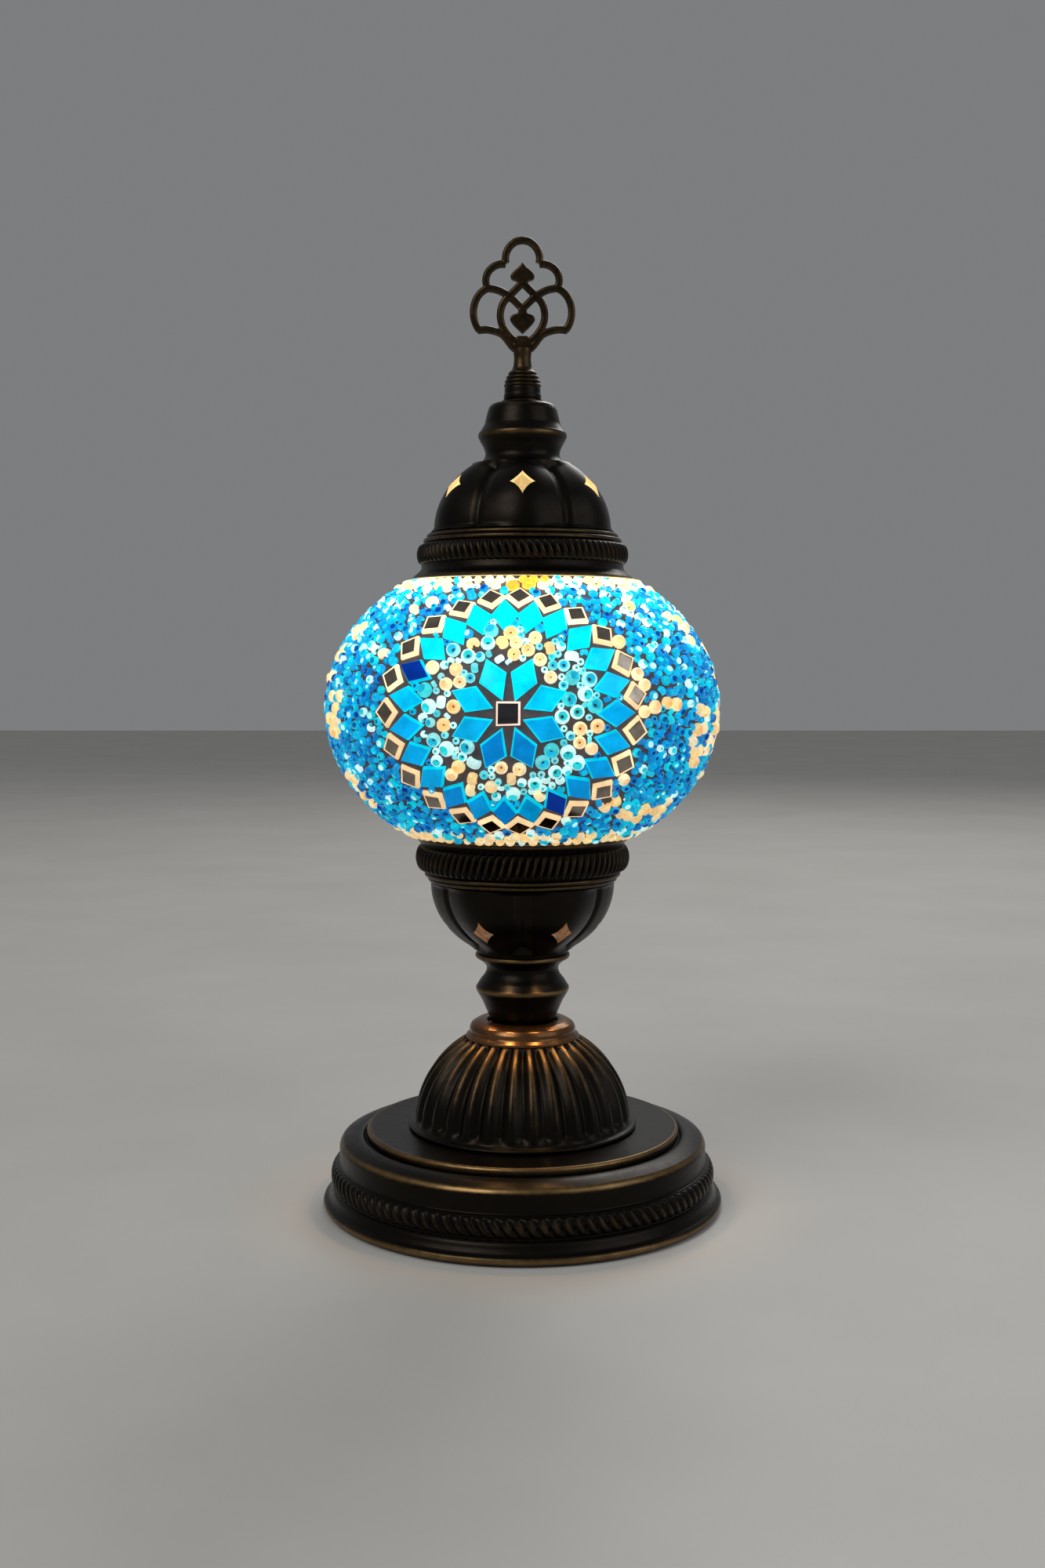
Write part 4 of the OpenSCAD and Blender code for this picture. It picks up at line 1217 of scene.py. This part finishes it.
def make_beads():
    """Glass ring beads in blue, turquoise, clear and cream."""
    most_faces = 85000
    batches = {"cream": [], "turquoise": [], "blue": []}
    slots = {"cream": "mirror_clear", "turquoise": "turquoise_glass", "blue": "blue_glass"}
    for place, east, north, out, size, zone, given in pack_beads():
        kind, body, core = bead_colours(zone, given, (place.z - GLOBE_Z) / GLOBE_HALF)
        lift, axis = bead_axis(east, north, out)
        hole = size * (0.16 if kind == "cream" else 0.26)
        vertices, faces, lining = bead_shape(place + out * lift, axis, size, hole)
        body, core = vary(body, 0.15), vary(core, 0.15)
        batches[kind].append((vertices, faces, [core if inner else body for inner in lining]))
    for kind, beads in batches.items():
        part, number = Batch(), 1
        for index, bead in enumerate(beads):
            part.add(*bead)
            if len(part.faces) > most_faces or index == len(beads) - 1:
                part.build("beads_" + kind + "_" + str(number), (), slots[kind], [GLASS_BEAD], 60)
                part, number = Batch(), number + 1


def make_grout():
    """The dark skin that the beads and tiles are pressed into."""
    gap = 0.03
    lift = degrees(asin((GLOBE_HALF - 0.7) / SKIN_B))
    outer = arc(0, GLOBE_Z, SKIN_A, SKIN_B, -lift, lift, 72)
    inner = arc(0, GLOBE_Z, GLASS_A + gap, GLASS_B + gap, lift, -lift, 40)

    def shape(r, z, angle, i):
        if i >= len(outer):
            return r, z
        wave = 0.12 * sin(23 * angle + 2.1 * z / 3) * sin(z * 0.9 + 5 * angle)
        return r + wave, z

    lathe("grout_skin", outer + inner, "globe", ("grout_layer",), 300, None, shape, "grout", [GROUT])


# ---- carried-over CAD nodes

FINISHES = (
    (FELT, "felt_pad"),
    (IRON, "base_weight"),
    (RUBBER, "cord_inlet lower_gasket upper_gasket"),
    (STEEL, "base_washer base_nut threaded_pipe cup_washer harp_bracket harp_nut holder_screws "
            "cap_stud stud_nut"),
    (PHENOLIC, "holder_cap holder_shell bulb_insulator"),
    (CERAMIC, "holder_insulator"),
    (CONTACT, "holder_sleeve holder_contact"),
    (COPPERY_WITH_PAINTED_GLOW, "finial_washer"),
    (NICKEL, "bulb_contact bulb_screw_cap"),
    (GLOBE_GLASS, "glass_globe"),
    (BULB_GLASS, "bulb_glass"),
    (FILAMENT, "bulb_stem"),
)


def finish_cad_nodes():
    """Gives every CAD node that stays in view its procedural material."""
    for material, names in FINISHES:
        for name in names.split():
            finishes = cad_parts[name].data.materials
            finishes.clear()
            finishes.append(material)


# ---- scene


def make_floor():
    """A pale floor that reaches far beyond the view."""
    n = Nodes("pale_floor")
    n.feed("Base Color", n.mix(n.ramp(n.noise(9, 4)), (0.55, 0.53, 0.5), (0.6, 0.58, 0.55)))
    n.feed("Roughness", 0.55)
    reach = 4000
    corners = [(-reach, -reach, 0), (reach, -reach, 0), (reach, reach, 0), (-reach, reach, 0)]
    floor = add_to_scene("floor", new_mesh("floor", corners, [[0, 1, 2, 3]]))
    floor.data.materials.append(n.material)


def make_studio():
    """An even grey surrounding and three soft lights."""
    world = bpy.data.worlds.new("studio")
    world.use_nodes = True
    background = world.node_tree.nodes["Background"].inputs
    background["Color"].default_value = (0.78, 0.8, 0.82, 1)
    background["Strength"].default_value = 0.26
    bpy.context.scene.world = world
    bpy.context.scene.view_settings.view_transform = "Standard"
    aim = Vector((0, 0, 0.15))
    for name, place, size, power, colour in (
        ("key", (-0.9, -1.1, 1.3), 1.0, 12.0, (1.0, 0.97, 0.93)),
        ("fill", (1.2, -0.7, 0.8), 1.2, 5.0, (0.93, 0.96, 1.0)),
        ("back", (0.4, 1.2, 1.2), 0.8, 7.0, (1.0, 0.98, 0.95)),
    ):
        light = bpy.data.lights.new(name, "AREA")
        light.size = size
        light.energy = power
        light.color = colour
        lamp = add_to_scene(name, light)
        lamp.location = place
        lamp.rotation_mode = "QUATERNION"
        lamp.rotation_quaternion = (aim - Vector(place)).to_track_quat("-Z", "Y")


def make_star_lights():
    """The glow that falls out of the cup's star holes onto the collar and the dome."""
    r = 26.8
    below_lip = 32.5
    for k, turn in enumerate(around(LOBES)):
        light = bpy.data.lights.new("star_light_" + str(k + 1), "SPOT")
        light.shadow_soft_size = 2.2 * MM
        light.spot_size = radians(86)
        light.spot_blend = 0.6
        light.energy = 0.026
        light.color = (1.0, 0.58, 0.25)
        lamp = add_to_scene(light.name, light)
        lamp.location = Vector((r * cos(turn), r * sin(turn), CUP_LIP - below_lip)) * MM
        lamp.visible_camera = False


def make_camera():
    """The camera, in front and slightly above, tilted down."""
    camera = bpy.data.cameras.new("camera")
    camera.sensor_width = 36
    camera.sensor_fit = "AUTO"
    camera.lens = 38.43
    eye = add_to_scene("camera", camera)
    eye.location = (0, -0.5556, 0.1806)
    eye.rotation_euler = (radians(90 - 4.1), 0, 0)
    bpy.context.scene.camera = eye


make_floor()
make_studio()
make_star_lights()
make_camera()
make_base()
make_dome()
make_collar()
make_lower_neck()
make_stamping("cup_lobed", ("lower_cup",), "stand", CUP_LIP, True, PIPE_HOLE, 0.0, (7.2, 4.4, 2.5), 0.0)
make_stamping("cap_lobed", ("upper_cap",), "cap", CAP_LIP, False, STUD_R, TAU / 12, (8.3, 3.3, 1.7), 1.3)
make_upper_neck()
make_knob()
make_crest()
make_grout()
make_tiles()
make_beads()
finish_cad_nodes()
